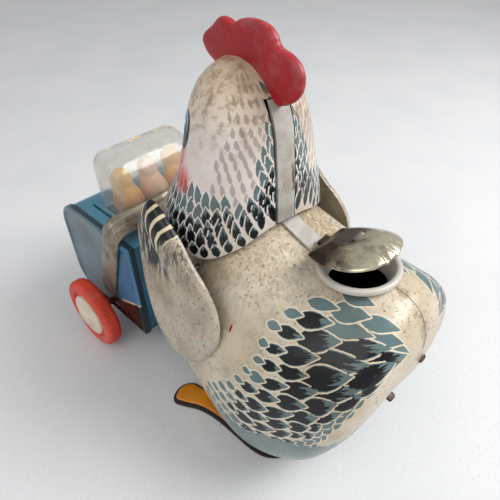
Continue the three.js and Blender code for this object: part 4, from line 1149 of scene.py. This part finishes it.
def lid():
    outline = spline(LID_OUTLINE, 256)
    around = np.arctan2(outline[:, 0], outline[:, 1] - LID_CENTRE[1])
    rear = np.clip(1.15 - np.abs(around) / 0.75, 0, 1)
    rings = []

    def ring(s, lower, narrower):
        flat = shrunk(outline, LID_CENTRE, s, narrower)
        top = 0.5 + (LID_TALL - 0.5) * (1 - s**2.4) ** 0.9
        pleat = 0.6 * np.sin(around * 15) * rear * np.clip((s - 0.55) / 0.2, 0, 1)
        pleat = pleat + 0.25 * np.sin(around * 31 + 1) * rear * np.clip((s - 0.65) / 0.2, 0, 1)
        dish = 0.5 * math.exp(-(((s - 0.52) / 0.12) ** 2))
        rings.append(on_lid(flat[:, 0], flat[:, 1], top + pleat + dish * (1 - rear) - lower))

    steps = np.linspace(0, 1, 34)[1:]
    for s in steps:
        ring(s, LID_SKIN, LID_SKIN)
    ring(1, 0.6, 0.0)
    for s in steps[::-1]:
        ring(s, 0.0, 0.0)
    ends = [on_lid(*LID_CENTRE, LID_TALL - low) for low in (LID_SKIN, 0)]
    shell = loft("hen_lid", rings, *ends, sharp=50)
    knuckle = place(bar("knuckle", 1.4, 6, 32), shift(-3, *LID_HINGE[1:]) @ SIDEWAYS)
    y, z = LID_HINGE[1:]
    tongue = block("tongue", (-3, y - 0.4, z + 0.8), (3, y + 3.4, z + 2.2))
    shell = combined(combined(shell, knuckle), tongue)
    pin = place(bar("pin", 0.7, 18, 32), shift(-9, y, z) @ SIDEWAYS)
    slits = []
    for u in (-4.2, 4.2):
        a, b = on_lid(u - 1.5, -0.4, 3), on_lid(u + 1.5, 0.5, 9)
        slits.append(block("slit", tuple(np.minimum(a, b)), tuple(np.maximum(a, b))))
    for x in (-4.5, 3.3):
        low, high = (x - GAP, y - 2, z - 5), (x + 1.2 + GAP, y + 0.9 + GAP, z + 1.4 + GAP)
        slits.append(block("ear_room", low, high))
    return cut(shell, pin, *slits, sharp=50)


def plated(name, bright, worn, roughness=(0.14, 0.34), centre=None, metallic=1.0):
    """Thin bright plating over steel, browned where it has worn. Given a centre in y, it is also painted
    darker brown in front of it and bright behind it, as painted shade and a painted reflection.
    """
    paint = Paint(name, Metallic=metallic)
    y = paint.axes()[1]
    wear_and_shade = paint.rise(paint.noise(8, 4.0, 0.6), 0.42, 0.66)
    if centre is not None:
        # Painted shade and reflection: darker brown towards the front, bright towards the rear.
        wear_and_shade = paint.plus(paint.times(wear_and_shade, 0.5), paint.rise(y, centre + 0.006, centre - 0.012))
        wear_and_shade = paint.math("MINIMUM", wear_and_shade, 1.0)
    shade = paint.mix(wear_and_shade, bright, worn)
    pit = paint.times(paint.spots(0.9, 0.64), 0.7)
    shade = paint.mix(pit, shade, srgb(0.26, 0.19, 0.13))
    gloss = paint.plus(paint.between(paint.noise(4, 4.0), *roughness), paint.times(wear_and_shade, 0.10))
    paint.set(Base_Color=shade, Roughness=gloss)
    paint.set(Normal=paint.bump(paint.noise(7), 0.12, paint.bump(paint.noise(1.0), 0.012)))
    return paint.material


# The lid's plating carries painted shade towards the hinge and a painted reflection towards the rear.
LID_LOOK = plated("lid_plate", srgb(0.86, 0.83, 0.72), srgb(0.34, 0.295, 0.25), (0.14, 0.28), 0.074)
stands_for(lid(), "lid", "plated", LID_LOOK, "lid")


def lug(z, y, lean):
    """Small tab folded over at the seam."""
    turn = circle(28)
    rings = []
    for x in np.linspace(-2.5, 2.5, 15):
        round_off = (1 - abs(x / 2.62) ** 4) ** 0.5
        u = 1.7 * power(np.cos(turn), 4) * round_off
        v = 0.7 * power(np.sin(turn), 3) * round_off
        rings.append(np.column_stack([0 * turn + x, u, v]))
    piece = loft("hen_lug", rings)
    return place(piece, shift(0, y, z) @ Matrix.Rotation(lean, 4, "X"))


LUG_LOOK = plated("lug_plate", srgb(0.34, 0.28, 0.23), srgb(0.20, 0.14, 0.11), (0.4, 0.6), None, 0.5)
for word, z, y, lean in (("upper", 90, 107.45, 0.1), ("lower", 55, 101.9, -0.3)):
    piece = cut(lug(z, y, lean), body_solid())
    stands_for(piece, "body", "plated", LUG_LOOK, f"seam_lug_{word}")
piece = head_turned(cut(wattles(), head_solid(), beak_blank(0.4), sharp=60))
stands_for(piece, "head", "red_plastic", COMB_RED, "wattle")

# ---- cart ----
CART_FRONT, CART_REAR, CART_TOP, CART_BOTTOM = -109.2, -36.0, 88.0, 19.0
CART_HALF, CART_ROUND = 42.0, 17.0
CART_WALL = 37.7
WHEEL_Y, WHEEL_R = -73.0, 23.4
WHEEL_INNER, WHEEL_OUTER, HUB_OUTER = 49.4, 59.4, 62.0
DOME_HALF, DOME_FRONT, DOME_REAR, DOME_TOP = 28.0, -81.8, -54.2, 123.5
DOME_WALL, CART_WALL_THICK = 1.3, 1.2


def rounded(low, high, radii, by=0.0):
    """Box outline in (u, v) with a radius for each corner from lower right, moved inwards by a distance."""
    (u0, v0), (u1, v1) = np.array(low) + by, np.array(high) - by
    a, b, c, d = (max(r - by, 0.15) for r in radii)
    parts = (corner(u1 - a, v0 + a, a, -90), corner(u1 - b, v1 - b, b, 0))
    return np.concatenate([*parts, corner(u0 + c, v1 - c, c, 90), corner(u0 + d, v0 + d, d, 180)])


def pan(name, low, high, radii, profile, lay):
    """Stamped pan: its wall follows (inset, height) steps from one face to the other."""
    return layered(name, [(rounded(low, high, radii, by), height) for by, height in profile], lay, 35)


def axle_room():
    return place(bar("axle_room", 2.8, 120), shift(-60, WHEEL_Y, WHEEL_R) @ SIDEWAYS)


def cart_side(word, side):
    profile = (
        (9, 40.3), (2.6, 40.4), (1.7, 40.3), (1.2, 39.8), (1.2, 38), (0, 38), (0, 40.4), (0.05, 41),
        (0.35, 41.5), (0.8, 41.85), (1.5, 42), (2.2, 42), (2.8, 41.8), (3.2, 41.45), (3.7, 41.3), (9, 41.3),
    )
    low, high = (CART_FRONT, CART_BOTTOM), (CART_REAR, CART_TOP)
    radii = (1.6, 1.6, CART_ROUND, CART_ROUND)

    def lay(y, z, h):
        return np.stack([side * h, y, z], -1)

    return cut(pan(f"cart_side_{word}", low, high, radii, profile, lay), axle_room())


def cart_side_material():
    paint = Paint("litho_side")
    x, y, z = paint.axes()
    slate = paint.mix(paint.patches(20), srgb(0.37, 0.46, 0.50), srgb(0.31, 0.39, 0.43))
    sky = paint.mix(paint.rise(z, 0.045, 0.085), srgb(0.30, 0.46, 0.60), srgb(0.17, 0.42, 0.55))
    rearward = paint.rise(y, -0.0590, -0.0582)
    colour = paint.mix(rearward, slate, sky)
    step = paint.plus(0.036, paint.times(paint.plus(y, 0.056), 0.45))
    below = paint.minus(step, z)
    low = paint.times(paint.rise(below, 0.0, 0.0004), paint.rise(y, -0.083, -0.0815))
    cream = paint.times(paint.rise(paint.size(below), 0.0010, 0.0007), rearward)
    colour = paint.mix(low, colour, srgb(0.29, 0.12, 0.12))
    colour = paint.mix(cream, colour, srgb(0.80, 0.76, 0.66))
    heel = paint.times(low, paint.rise(y, -0.0432, -0.0425))
    colour = paint.mix(heel, colour, srgb(0.09, 0.11, 0.10))
    foot = paint.times(paint.rise(z, 0.0222, 0.0215), 0.9)
    colour = paint.mix(foot, colour, srgb(0.10, 0.13, 0.13))
    edge = paint.rise(paint.size(x), 0.0412, 0.0406)
    colour = paint.mix(edge, colour, srgb(0.10, 0.20, 0.25))
    return enamel(paint, aged(paint, colour, 0.6), (0.20, 0.38), 0.12)


look = cart_side_material()
for word, side in SIDES:
    stands_for(cart_side(word, side), "body", "litho_side", look, f"cart_side_{word}")


def cart_shell():
    """Wrapped sheet between the two sides, open at the back."""
    def path(by):
        f, r, t, b = CART_FRONT + 1 + by, CART_REAR - 1, CART_TOP - 1 - by, CART_BOTTOM + 1 + by
        q = CART_ROUND - 1 - by
        bends = (corner(f + q, t - q, q, 90, 16), corner(f + q, b + q, q, 180, 16))
        along = np.linspace(r, f + q, 12)[:-1]
        top = np.column_stack([along, 0 * along + t])
        bottom = np.column_stack([along[::-1], 0 * along + b])
        return np.concatenate([top, *bends, bottom])

    edge = CART_WALL - 1 + np.sin(np.linspace(0, math.pi / 2, 6))
    across = np.concatenate([-edge[::-1], np.linspace(-CART_WALL + 1, CART_WALL - 1, 14)[1:-1], edge])
    drop = 0.8 * (1 - np.sqrt(np.maximum(1 - np.maximum(np.abs(across) - CART_WALL + 1, 0) ** 2, 0)))
    layers = []
    for by in (drop, 0 * drop + CART_WALL_THICK):
        columns = []
        for x, inward in zip(across, by):
            line = path(inward)
            columns.append(np.column_stack([np.full(len(line), x), line]))
        layers.append(np.stack(columns, 1))
    piece = skin("cart_shell", *layers, sharp=35)
    holes = [axle_room(), block("hatch", (-25.6, DOME_FRONT + 2.4, 80), (25.6, DOME_REAR - 2.4, 95))]
    for side in (-1, 1):
        a, b = sorted((side * 29.2, side * 30.6))
        holes.append(block("slot", (a, -88, 80), (b, -64, 95)))
    return cut(piece, *holes, sharp=35)


def blue(name, bright, deep, size=24.0):
    paint = Paint(name)
    x = paint.axes()[0]
    shade = paint.mix(paint.patches(size), bright, deep)
    rub = paint.noise(2.4, 4.0, 0.7, paint.stretched(0.4, 1, 1))
    shade = paint.mix(paint.times(paint.rise(rub, 0.60, 0.75), 0.5), shade, srgb(0.52, 0.62, 0.66))
    edge = paint.rise(paint.size(x), 0.0370, 0.0376)
    shade = paint.mix(edge, shade, srgb(0.09, 0.15, 0.18))
    return enamel(paint, aged(paint, shade, 0.55), (0.22, 0.40), 0.12)


look = blue("litho_blue", srgb(0.30, 0.55, 0.66), srgb(0.24, 0.47, 0.58))
stands_for(cart_shell(), "body", "litho_blue", look, "cart_shell")


def cart_rear():
    y = CART_REAR - 1
    low, high = (-CART_WALL, CART_BOTTOM + 2.5), (CART_WALL, CART_TOP - 2.5)
    profile = (
        (5, y - 1.2), (1.8, y - 1.2), (1.2, y - 1.6), (1.2, y - 4), (0, y - 4), (0, y - 0.9),
        (0.25, y - 0.3), (0.8, y), (5, y),
    )
    piece = pan("cart_rear", low, high, (1.6,) * 4, profile, lambda x, z, h: np.stack([-x, h, z], -1))
    grooves = [block("groove", (a, y - 0.5, 24), (a + 0.9, y + 1, 83)) for a in (-32.4, 31.5)]
    return cut(piece, *grooves, sharp=35)


look = blue("litho_dark_blue", srgb(0.20, 0.45, 0.59), srgb(0.15, 0.38, 0.51), 30.0)
stands_for(cart_rear(), "body", "litho_dark_blue", look, "cart_rear_panel")


def dome():
    """Clear cover: upright walls, a rounded front edge and a back that slopes up to a flat top."""
    low = CART_TOP - 1 + GAP

    def cage(by):
        front, rear, top, half = DOME_FRONT + by, DOME_REAR - by, DOME_TOP - by, DOME_HALF - by
        bend, edge, nose = 7 - by, 4 - by, 5 - by
        share = np.linspace(0, 1, 40)
        sunk = (0, 0.07, 0.25, 0.5, 0.75, 1)
        height = [top - below for below in (20, 13, 7, 3, 0.8, 0)]
        slope_y = rear - 18 * share
        slope_z = np.interp(share, sunk, height)
        for _ in range(3):
            slope_z[1:-1] = (slope_z[:-2] + 2 * slope_z[1:-1] + slope_z[2:]) / 4
        a = np.linspace(0, math.pi / 2, 12)
        nose_y, nose_z = front + nose * (1 - np.sin(a)), top - nose * (1 - np.cos(a))
        ys, zs = np.concatenate([slope_y, nose_y]), np.concatenate([slope_z, nose_z])
        rows = [np.tile((0.0, rear, low), (39, 1))]
        for y, z in zip(ys, zs):
            near = max(edge - (rear - y), edge - (y - front), 0.0)
            wide = half - edge + math.sqrt(max(edge**2 - near**2, 0.0))
            arc = np.linspace(0, math.pi / 2, 9)
            up = np.linspace(low, z - bend, 8)[:-1]
            flat = np.linspace(wide - bend, 0, 5)[1:-1]
            x = np.concatenate([0 * up + wide, wide - bend + bend * np.cos(arc), flat])
            h = np.concatenate([up, z - bend + bend * np.sin(arc), (z, z, z)])
            right = np.column_stack([x, 0 * x + y, h])
            left = right[::-1] * (-1, 1, 1)
            rows.append(np.concatenate([right, [(0.0, y, z)], left]))
        rows.append(np.tile((0.0, front, low), (39, 1)))
        return np.stack(rows)

    return skin("cart_dome", cage(0.0), cage(DOME_WALL), sharp=30)


def dome_material():
    paint = Paint("clear_plastic", IOR=1.36, Specular_IOR_Level=0.1)
    _, y, z = paint.axes()
    scuff = paint.times(paint.rise(paint.noise(5, 5.0, 0.7), 0.48, 0.70), paint.rise(z, 0.100, 0.124))
    gloss = paint.plus(0.10, paint.times(scuff, 0.25))
    glue = paint.times(paint.rise(z, 0.1215, 0.1225), paint.rise(y, -0.074, -0.078))
    glue = paint.times(glue, paint.rise(paint.noise(5.0, 4.0), 0.50, 0.60))
    tint = paint.mix(paint.patches(18), srgb(0.97, 0.965, 0.95), srgb(0.93, 0.925, 0.905))
    paint.set(Base_Color=paint.mix(glue, tint, srgb(0.90, 0.78, 0.48)), Roughness=gloss)
    paint.set(Transmission_Weight=paint.between(glue, 0.90, 0.25))
    paint.set(Normal=paint.bump(paint.noise(14, 2.0), 0.25))
    return paint.material


stands_for(dome(), "body", "clear_plastic", dome_material(), "dome")

TRAY = CART_TOP - 3.6
CHICK_SCALE = (1.18, 1.04, 1.36)


def chick(name, x, y, turn):
    level = (0, 1.6, 4, 7.6, 11, 13, 14.4, 16.4, 18.8, 20.4, 21.2, 21.6)
    wide = (2.6, 4.6, 6.1, 6.8, 6.2, 5.2, 4.8, 5.0, 4.3, 2.9, 1.6, 0.0)
    deep = (3.0, 5.3, 7.0, 7.9, 7.2, 5.9, 5.2, 5.2, 4.4, 3.0, 1.6, 0.0)
    middle = (0, 0, 0, 0.2, -1.0, -2.8, -3.9, -4.6, -4.7, -4.6, -4.6, -4.6)
    around = circle(72)
    rings, shades = [], []
    for h in np.concatenate([np.linspace(0.6, 20, 44), 21.6 - 1.6 * (1 - np.linspace(0, 0.97, 12)) ** 2]):
        w, d, m = (float(smooth(level, v, h)) for v in (wide, deep, middle))
        front = np.exp(-(((around + math.pi / 2 + math.pi) % (2 * math.pi) - math.pi) / 0.26) ** 2)
        beak = 3.4 * front * math.exp(-(((h - 16) / 1.1) ** 2))
        tail = 2.2 * np.exp(-(((around - math.pi / 2) / 0.35) ** 2)) * math.exp(-(((h - 9.8) / 2.2) ** 2))
        flank = np.abs(np.cos(around)) ** 3
        wing = 0.5 * flank * (1 / (1 + math.exp((h - 10) * 2.2)) - 1 / (1 + math.exp((h - 4.5) * 2.2)))
        reach = beak + tail + wing
        px, py = (w + reach) * np.cos(around), m + (d + reach) * np.sin(around)
        rings.append(np.column_stack([px, py, 0 * around + h]))
        eye = np.exp(-(((h - 17.6) / 0.7) ** 2)) * np.exp(-(((np.abs(np.cos(around)) - 0.80) / 0.09) ** 2))
        eye = eye * (np.sin(around) < 0)
        shades.append(np.column_stack([eye, (beak > 0.7) * 1.0, wing > 0.12]))
    piece = loft(name, rings, np.array((0.0, 0.0, 0.6)), np.array((0.0, -4.6, 21.6)), sharp=60)
    for i, layer in enumerate(("eye", "beak", "wing")):
        values = np.concatenate([np.concatenate([s[:, i] for s in shades]), (0.0, 0.0)]).astype(np.float32)
        piece.data.attributes.new(layer, "FLOAT", "POINT").data.foreach_set("value", values)
    grown = Matrix.Diagonal((*CHICK_SCALE, 1))
    return place(piece, shift(x, y, TRAY - 0.3) @ Matrix.Rotation(turn, 4, "Z") @ grown)


def chick_material(name, light, deep):
    paint = Paint(name, Subsurface_Weight=0.2, Subsurface_Radius=(1.0, 0.5, 0.25), Subsurface_Scale=0.0015)
    z = paint.axes()[2]
    shade = paint.mix(paint.rise(z, 0.108, 0.090), light, deep)
    shade = paint.mix(paint.times(paint.attribute("wing"), 0.5), shade, deep)
    shade = paint.mix(paint.times(paint.spots(0.9, 0.66), 0.5), shade, RUST)
    shade = paint.mix(paint.rise(paint.attribute("beak"), 0.3, 0.7), shade, srgb(0.80, 0.40, 0.12))
    shade = paint.mix(paint.rise(paint.attribute("eye"), 0.35, 0.6), shade, INK)
    paint.set(Base_Color=shade, Roughness=paint.between(paint.noise(4), 0.30, 0.5))
    paint.set(Normal=paint.bump(paint.noise(1.5), 0.05))
    return paint.material


YELLOW = chick_material("chick_yellow", srgb(0.93, 0.76, 0.44), srgb(0.86, 0.52, 0.12))
PEACH = chick_material("chick_peach", srgb(0.93, 0.80, 0.68), srgb(0.88, 0.66, 0.50))
for number, x, y, turn, look, slot in (
    (1, 17.5, -66.2, 0.03, YELLOW, "chick_yellow"),
    (2, 0.0, -66.3, -0.03, PEACH, "chick_peach"),
    (3, -17.5, -66.1, 0.03, YELLOW, "chick_yellow"),
):
    stands_for(chick(f"chick_bird_{number}", x, y, turn), "body", slot, look, f"chick_{number}")

HOOP_TILT = math.radians(-21)
HOOP_MIDDLE = (0, -47.25, CART_TOP + 8.4)
HOOP_HALF = 6.75


def hoop():
    """Bent strap over the cart with three ribs along it and rounded feet."""
    half, top, bend, foot = CART_HALF + GAP, HOOP_MIDDLE[2], 6.6, 31.0
    stations = []
    for d in HOOP_HALF * (1 - np.cos(np.linspace(0.06, math.pi / 2, 12))):
        stations.append((half, foot + d, 1, 0, d))
    for z in np.linspace(foot + 8, top - bend, 18):
        stations.append((half, z, 1, 0, z - foot))
    for a in np.linspace(0, math.pi / 2, 14)[1:]:
        x, z = half - bend + bend * math.cos(a), top - bend + bend * math.sin(a)
        stations.append((x, z, math.cos(a), math.sin(a), 99))
    for x in np.linspace(half - bend, 0, 12)[1:]:
        stations.append((x, top, 0, 1, 99))
    stations += [(-x, z, -nx, nz, d) for x, z, nx, nz, d in stations[-2::-1]]
    v = np.linspace(-1, 1, 49)
    rings = []
    for x, z, nx, nz, d in stations:
        wide = HOOP_HALF * math.sqrt(max(1 - (1 - min(d / HOOP_HALF, 1)) ** 2, 0.0))
        ribbed = min(max((z - top + 22) / 14, 0), 1)
        rib = sum(np.exp(-(((v * HOOP_HALF - at) / 0.85) ** 2)) for at in (-4.35, 0, 4.35))
        edge = 0.8 * (1 - np.abs(v) ** 14)
        out = 0.5 + edge + 0.75 * rib * ribbed * (np.abs(v) < 0.97)
        cross = np.concatenate([np.column_stack([v, out]), np.column_stack([v[::-1], 0 * v])])
        px, pz = x + nx * cross[:, 1], z + nz * cross[:, 1]
        rings.append(np.column_stack([px, HOOP_MIDDLE[1] + wide * cross[:, 0], pz]))
    piece = loft("cart_hoop", rings, sharp=50)
    back = tuple(-c for c in HOOP_MIDDLE)
    return place(piece, shift(*HOOP_MIDDLE) @ Matrix.Rotation(HOOP_TILT, 4, "X") @ shift(*back))


HOOP_LOOK = plated("hoop_plate", srgb(0.60, 0.56, 0.50), srgb(0.44, 0.39, 0.33), (0.30, 0.46), None, 0.6)
stands_for(hoop(), "body", "plated", HOOP_LOOK, "hoop")

# ---- cart wheels ----
RIBS, RIB_DEPTH = 72, 0.76
SHOULDER = 3.4


def tread_ribs(turn, radius):
    """Depth of the grooves, which fade out below the tread."""
    return RIB_DEPTH / 2 * (1 - np.cos(turn * RIBS)) * np.clip((radius - 20.5) / 1.5, 0, 1)


def on_axle(piece, side):
    """Lays a piece turned about Z on the cart's axle, facing its side."""
    aim = SIDEWAYS if side > 0 else Matrix.Rotation(-math.pi / 2, 4, "Y")
    return place(piece, shift(0, WHEEL_Y, WHEEL_R) @ aim)


def wheel(word, side):
    a, b, r = WHEEL_INNER, WHEEL_OUTER, WHEEL_R
    profile = [(2.3, a + 2), (14, a + 2), (16.2, a + 1.2), (17.4, a + 0.2)]
    q = SHOULDER
    profile += [*corner(r - q, a + q, q, -90, 8), *corner(r - q, b - q, q, 0, 12)]
    profile += [(17.4, b - 0.2), (16.5, b - 0.8), (16.2, b - 2), (2.3, b - 2)]
    piece = lathe(f"wheel_{word}", profile, 504, 50, tread_ribs)
    return on_axle(piece, side)


def hub(word, side):
    a, h = WHEEL_OUTER - 1.7, HUB_OUTER
    rim = [(14, a), (14, a + 1.3), (13.6, a + 1.9), (12.4, a + 2.4), (10.4, a + 2.8), (8.4, a + 3.1)]
    nave = [(7.2, h - 0.9), (6.7, h - 0.35), (5.8, h), (0, h)]
    piece = turned(f"hub_{word}", [(0, h - 1.8), (2.3, h - 1.8), (2.3, a)] + rim + nave)
    return on_axle(piece, side)


WHEEL_RED = plastic("wheel_red", srgb(0.83, 0.27, 0.17), (0.36, 0.55), 0.2, 0.15, 0.2)
HUB_CREAM = plastic("hub_cream", srgb(0.86, 0.80, 0.72), (0.32, 0.5), 0.2, 0.3)
for word, side in SIDES:
    stands_for(wheel(word, side), "cart_wheels", "wheel_plastic", WHEEL_RED, f"cart_wheel_{word}")
    stands_for(hub(word, side), "cart_wheels", "hub_plastic", HUB_CREAM, f"wheel_hub_{word}")

# ---- feet ----
FOOT_OUTLINE = spline((
    (37, 1.5), (41, -2), (46, -3), (51.5, -1), (53.6, 3), (51, 9), (46.8, 17), (44.4, 28), (43.8, 42),
    (43.4, 54), (41, 63), (35, 69.5), (31.6, 68), (30.4, 58), (31, 40), (33.4, 20),
), 150)


def foot(word, side):
    def plate(name, rim):
        layers = [(inset(FOOT_OUTLINE, by), height) for by, height in rim]
        return layered(name, layers, lambda x, y, z: np.stack([side * x, y, z], -1))

    rim = ((0.6, 0), (0.15, 0.15), (0, 0.5), (0, 1.1), (0.15, 1.45), (0.6, 1.6))
    base = plate(f"foot_black_{word}", rim)
    for low, high in (((14, 22, 0), (42, 36, 1.6)), ((14, 22, 0), (15.6, 36, 7.9))):
        if side < 0:
            low, high = (-high[0], *low[1:]), (-low[0], *high[1:])
        base = combined(base, block("arm", low, high))
    rim = ((2.4, 1.9), (1.95, 2.0), (1.8, 2.3), (1.8, 2.8), (1.95, 3.25), (2.3, 3.5), (2.9, 3.6))
    return base, plate(f"foot_top_{word}", rim)


def foot_material():
    paint = Paint("foot_orange")
    z = paint.axes()[2]
    shade = paint.mix(paint.patches(20), srgb(0.82, 0.52, 0.10), srgb(0.74, 0.43, 0.08))
    # Painted shade: the lower rim of the orange plate, down by the black base, is darker brown.
    shade = paint.mix(paint.rise(z, 0.0031, 0.0024), shade, srgb(0.42, 0.24, 0.06))
    return enamel(paint, aged(paint, shade, 0.6), (0.25, 0.42), 0.15)


ORANGE = foot_material()
BLACK = plastic("foot_black", srgb(0.10, 0.09, 0.085), (0.3, 0.5), 0.0, 0.4)
for word, side in SIDES:
    base, top = foot(word, side)
    stands_for(base, "body", "foot_black", BLACK, f"foot_base_{word}")
    stands_for(top, "body", "foot_orange", ORANGE, f"foot_{word}")


# ---- winding key ----
def key():
    y, z, x = *ARBOR, -56.0
    bow = place(bar("hen_key", 6, 1.6), shift(x, y - 5.6, z - 0.8))
    bow = combined(bow, place(bar("disc", 6, 1.6), shift(x, y + 5.6, z - 0.8)))
    bow = combined(bow, block("neck", (-54.5, y - 3, z - 0.8), (-51, y + 3, z + 0.8)))
    bow = combined(bow, place(bar("collar", 3, 4), shift(-51.5, y, z) @ SIDEWAYS))
    eyes = [place(bar("eye", 2.5, 6), shift(x - 0.4, y + s * 6, z - 3)) for s in (-1, 1)]
    socket = place(bar("socket", 2.02, 9.4), shift(-49.4, y, z) @ SIDEWAYS)
    return softened(cut(bow, *eyes, socket), 0.25)


KEY_LOOK = plated("key_plate", srgb(0.66, 0.65, 0.63), srgb(0.46, 0.42, 0.36), (0.22, 0.4))
# Open fault: winding_key belongs to body key. This lookup finds nothing and falls back to main_wheel.
stands_for(key(), frame["nodes"]["winding_key"].get("body", "main_wheel"), "steel", KEY_LOOK, "winding_key")


# ---- metal and paint of the CAD pieces that stay ----
def metal(name, colour, worn, roughness, metallic=1.0):
    paint = Paint(name, Metallic=metallic)
    shade = paint.mix(paint.rise(paint.noise(6, 4.0, 0.6), 0.40, 0.70), colour, worn)
    shade = paint.mix(paint.times(paint.spots(1.2, 0.65), 0.5), shade, RUST)
    brushed = paint.noise(0.6, 3.0, 0.7, paint.stretched(0.15, 1, 1))
    gloss = paint.plus(paint.between(paint.noise(4, 4.0), roughness - 0.08, roughness + 0.1),
                       paint.between(brushed, -0.05, 0.05))
    paint.set(Base_Color=shade, Roughness=gloss, Normal=paint.bump(paint.noise(1.2), 0.02))
    return paint.material


SLOT_LOOKS = {
    "litho_green": metal("litho_green", srgb(0.42, 0.56, 0.40), srgb(0.34, 0.47, 0.36), 0.5, 0.0),
    "plated": plated("bracket_plate", srgb(0.66, 0.62, 0.55), srgb(0.42, 0.34, 0.26)),
    "steel": metal("steel", srgb(0.56, 0.56, 0.56), srgb(0.42, 0.40, 0.38), 0.36),
    "axle_red": metal("axle_red", srgb(0.40, 0.12, 0.11), srgb(0.28, 0.10, 0.09), 0.4, 0.1),
    "brass": metal("brass", srgb(0.72, 0.57, 0.28), srgb(0.52, 0.42, 0.24), 0.3),
    "spring_steel": metal("spring_steel", srgb(0.33, 0.35, 0.40), srgb(0.25, 0.24, 0.26), 0.28),
    "rubber": metal("rubber", srgb(0.17, 0.17, 0.17), srgb(0.23, 0.22, 0.21), 0.7, 0.0),
}
node_slot = {row["node"]: row["material_slot"] for row in frame["record"]["subparts"]}
for name, node in frame["nodes"].items():
    if node_slot.get(name) in SLOT_LOOKS:
        dress(node, SLOT_LOOKS[node_slot[name]])

# ---- stage ----
FLOOR = 4000
floor_corners = [(-FLOOR, -FLOOR, 0), (FLOOR, -FLOOR, 0), (FLOOR, FLOOR, 0), (-FLOOR, FLOOR, 0)]
floor = build("floor", floor_corners, [(0, 1, 2, 3)])
paper = Paint("paper", Roughness=0.9)
cloud = paper.rise(paper.noise(90, 4.0), 0.35, 0.7)
cloud = paper.mix(cloud, srgb(0.835, 0.835, 0.835), srgb(0.815, 0.817, 0.82))
fibre = paper.mix(paper.rise(paper.noise(2.2, 5.0, 0.7), 0.5, 0.75), cloud, srgb(0.775, 0.78, 0.785))
paper.set(Base_Color=fibre, Normal=paper.bump(paper.noise(1.6, 4.0), 0.12))
floor.data.materials.append(paper.material)

world = bpy.data.worlds.new("room")
world.use_nodes = True
world.node_tree.nodes["Background"].inputs["Color"].default_value = srgb(0.95, 0.955, 0.965)
world.node_tree.nodes["Background"].inputs["Strength"].default_value = 0.62
bpy.context.scene.world = world
bpy.context.scene.view_settings.view_transform = "Standard"


def softbox(name, where, target, size, watts):
    data = bpy.data.lights.new(name, "AREA")
    data.shape = "RECTANGLE"
    data.size, data.size_y = (s * MM for s in size)
    data.energy = watts
    lamp = bpy.data.objects.new(name, data)
    lamp.location = Vector(where) * MM
    lamp.rotation_mode = "QUATERNION"
    lamp.rotation_quaternion = (Vector(target) - Vector(where)).to_track_quat("-Z", "Y")
    bpy.context.scene.collection.objects.link(lamp)


softbox("window", (-420, 520, 760), (0, 20, 60), (520, 520), 9.0)
softbox("fill", (620, 100, 620), (0, 0, 60), (700, 700), 2.2)

# ---- camera ----
CAMERA_AT = (127.4, 132.8, 241.8)
CAMERA_HEADING = math.radians(46.7)
CAMERA_PITCH = math.radians(40.6)
SENSOR_WIDTH, FOCAL_LENGTH = 36, 32.4
lens = bpy.data.cameras.new("camera")
lens.sensor_width, lens.lens = SENSOR_WIDTH, FOCAL_LENGTH
lens.clip_start, lens.clip_end = 0.01, 20
camera = bpy.data.objects.new("camera", lens)
camera.location = Vector(CAMERA_AT) * MM
level = Vector((-math.sin(CAMERA_HEADING), -math.cos(CAMERA_HEADING), 0))
look_along = level * math.cos(CAMERA_PITCH) - Vector((0, 0, math.sin(CAMERA_PITCH)))
camera.rotation_mode = "QUATERNION"
camera.rotation_quaternion = look_along.to_track_quat("-Z", "Y")
bpy.context.scene.collection.objects.link(camera)
bpy.context.scene.camera = camera
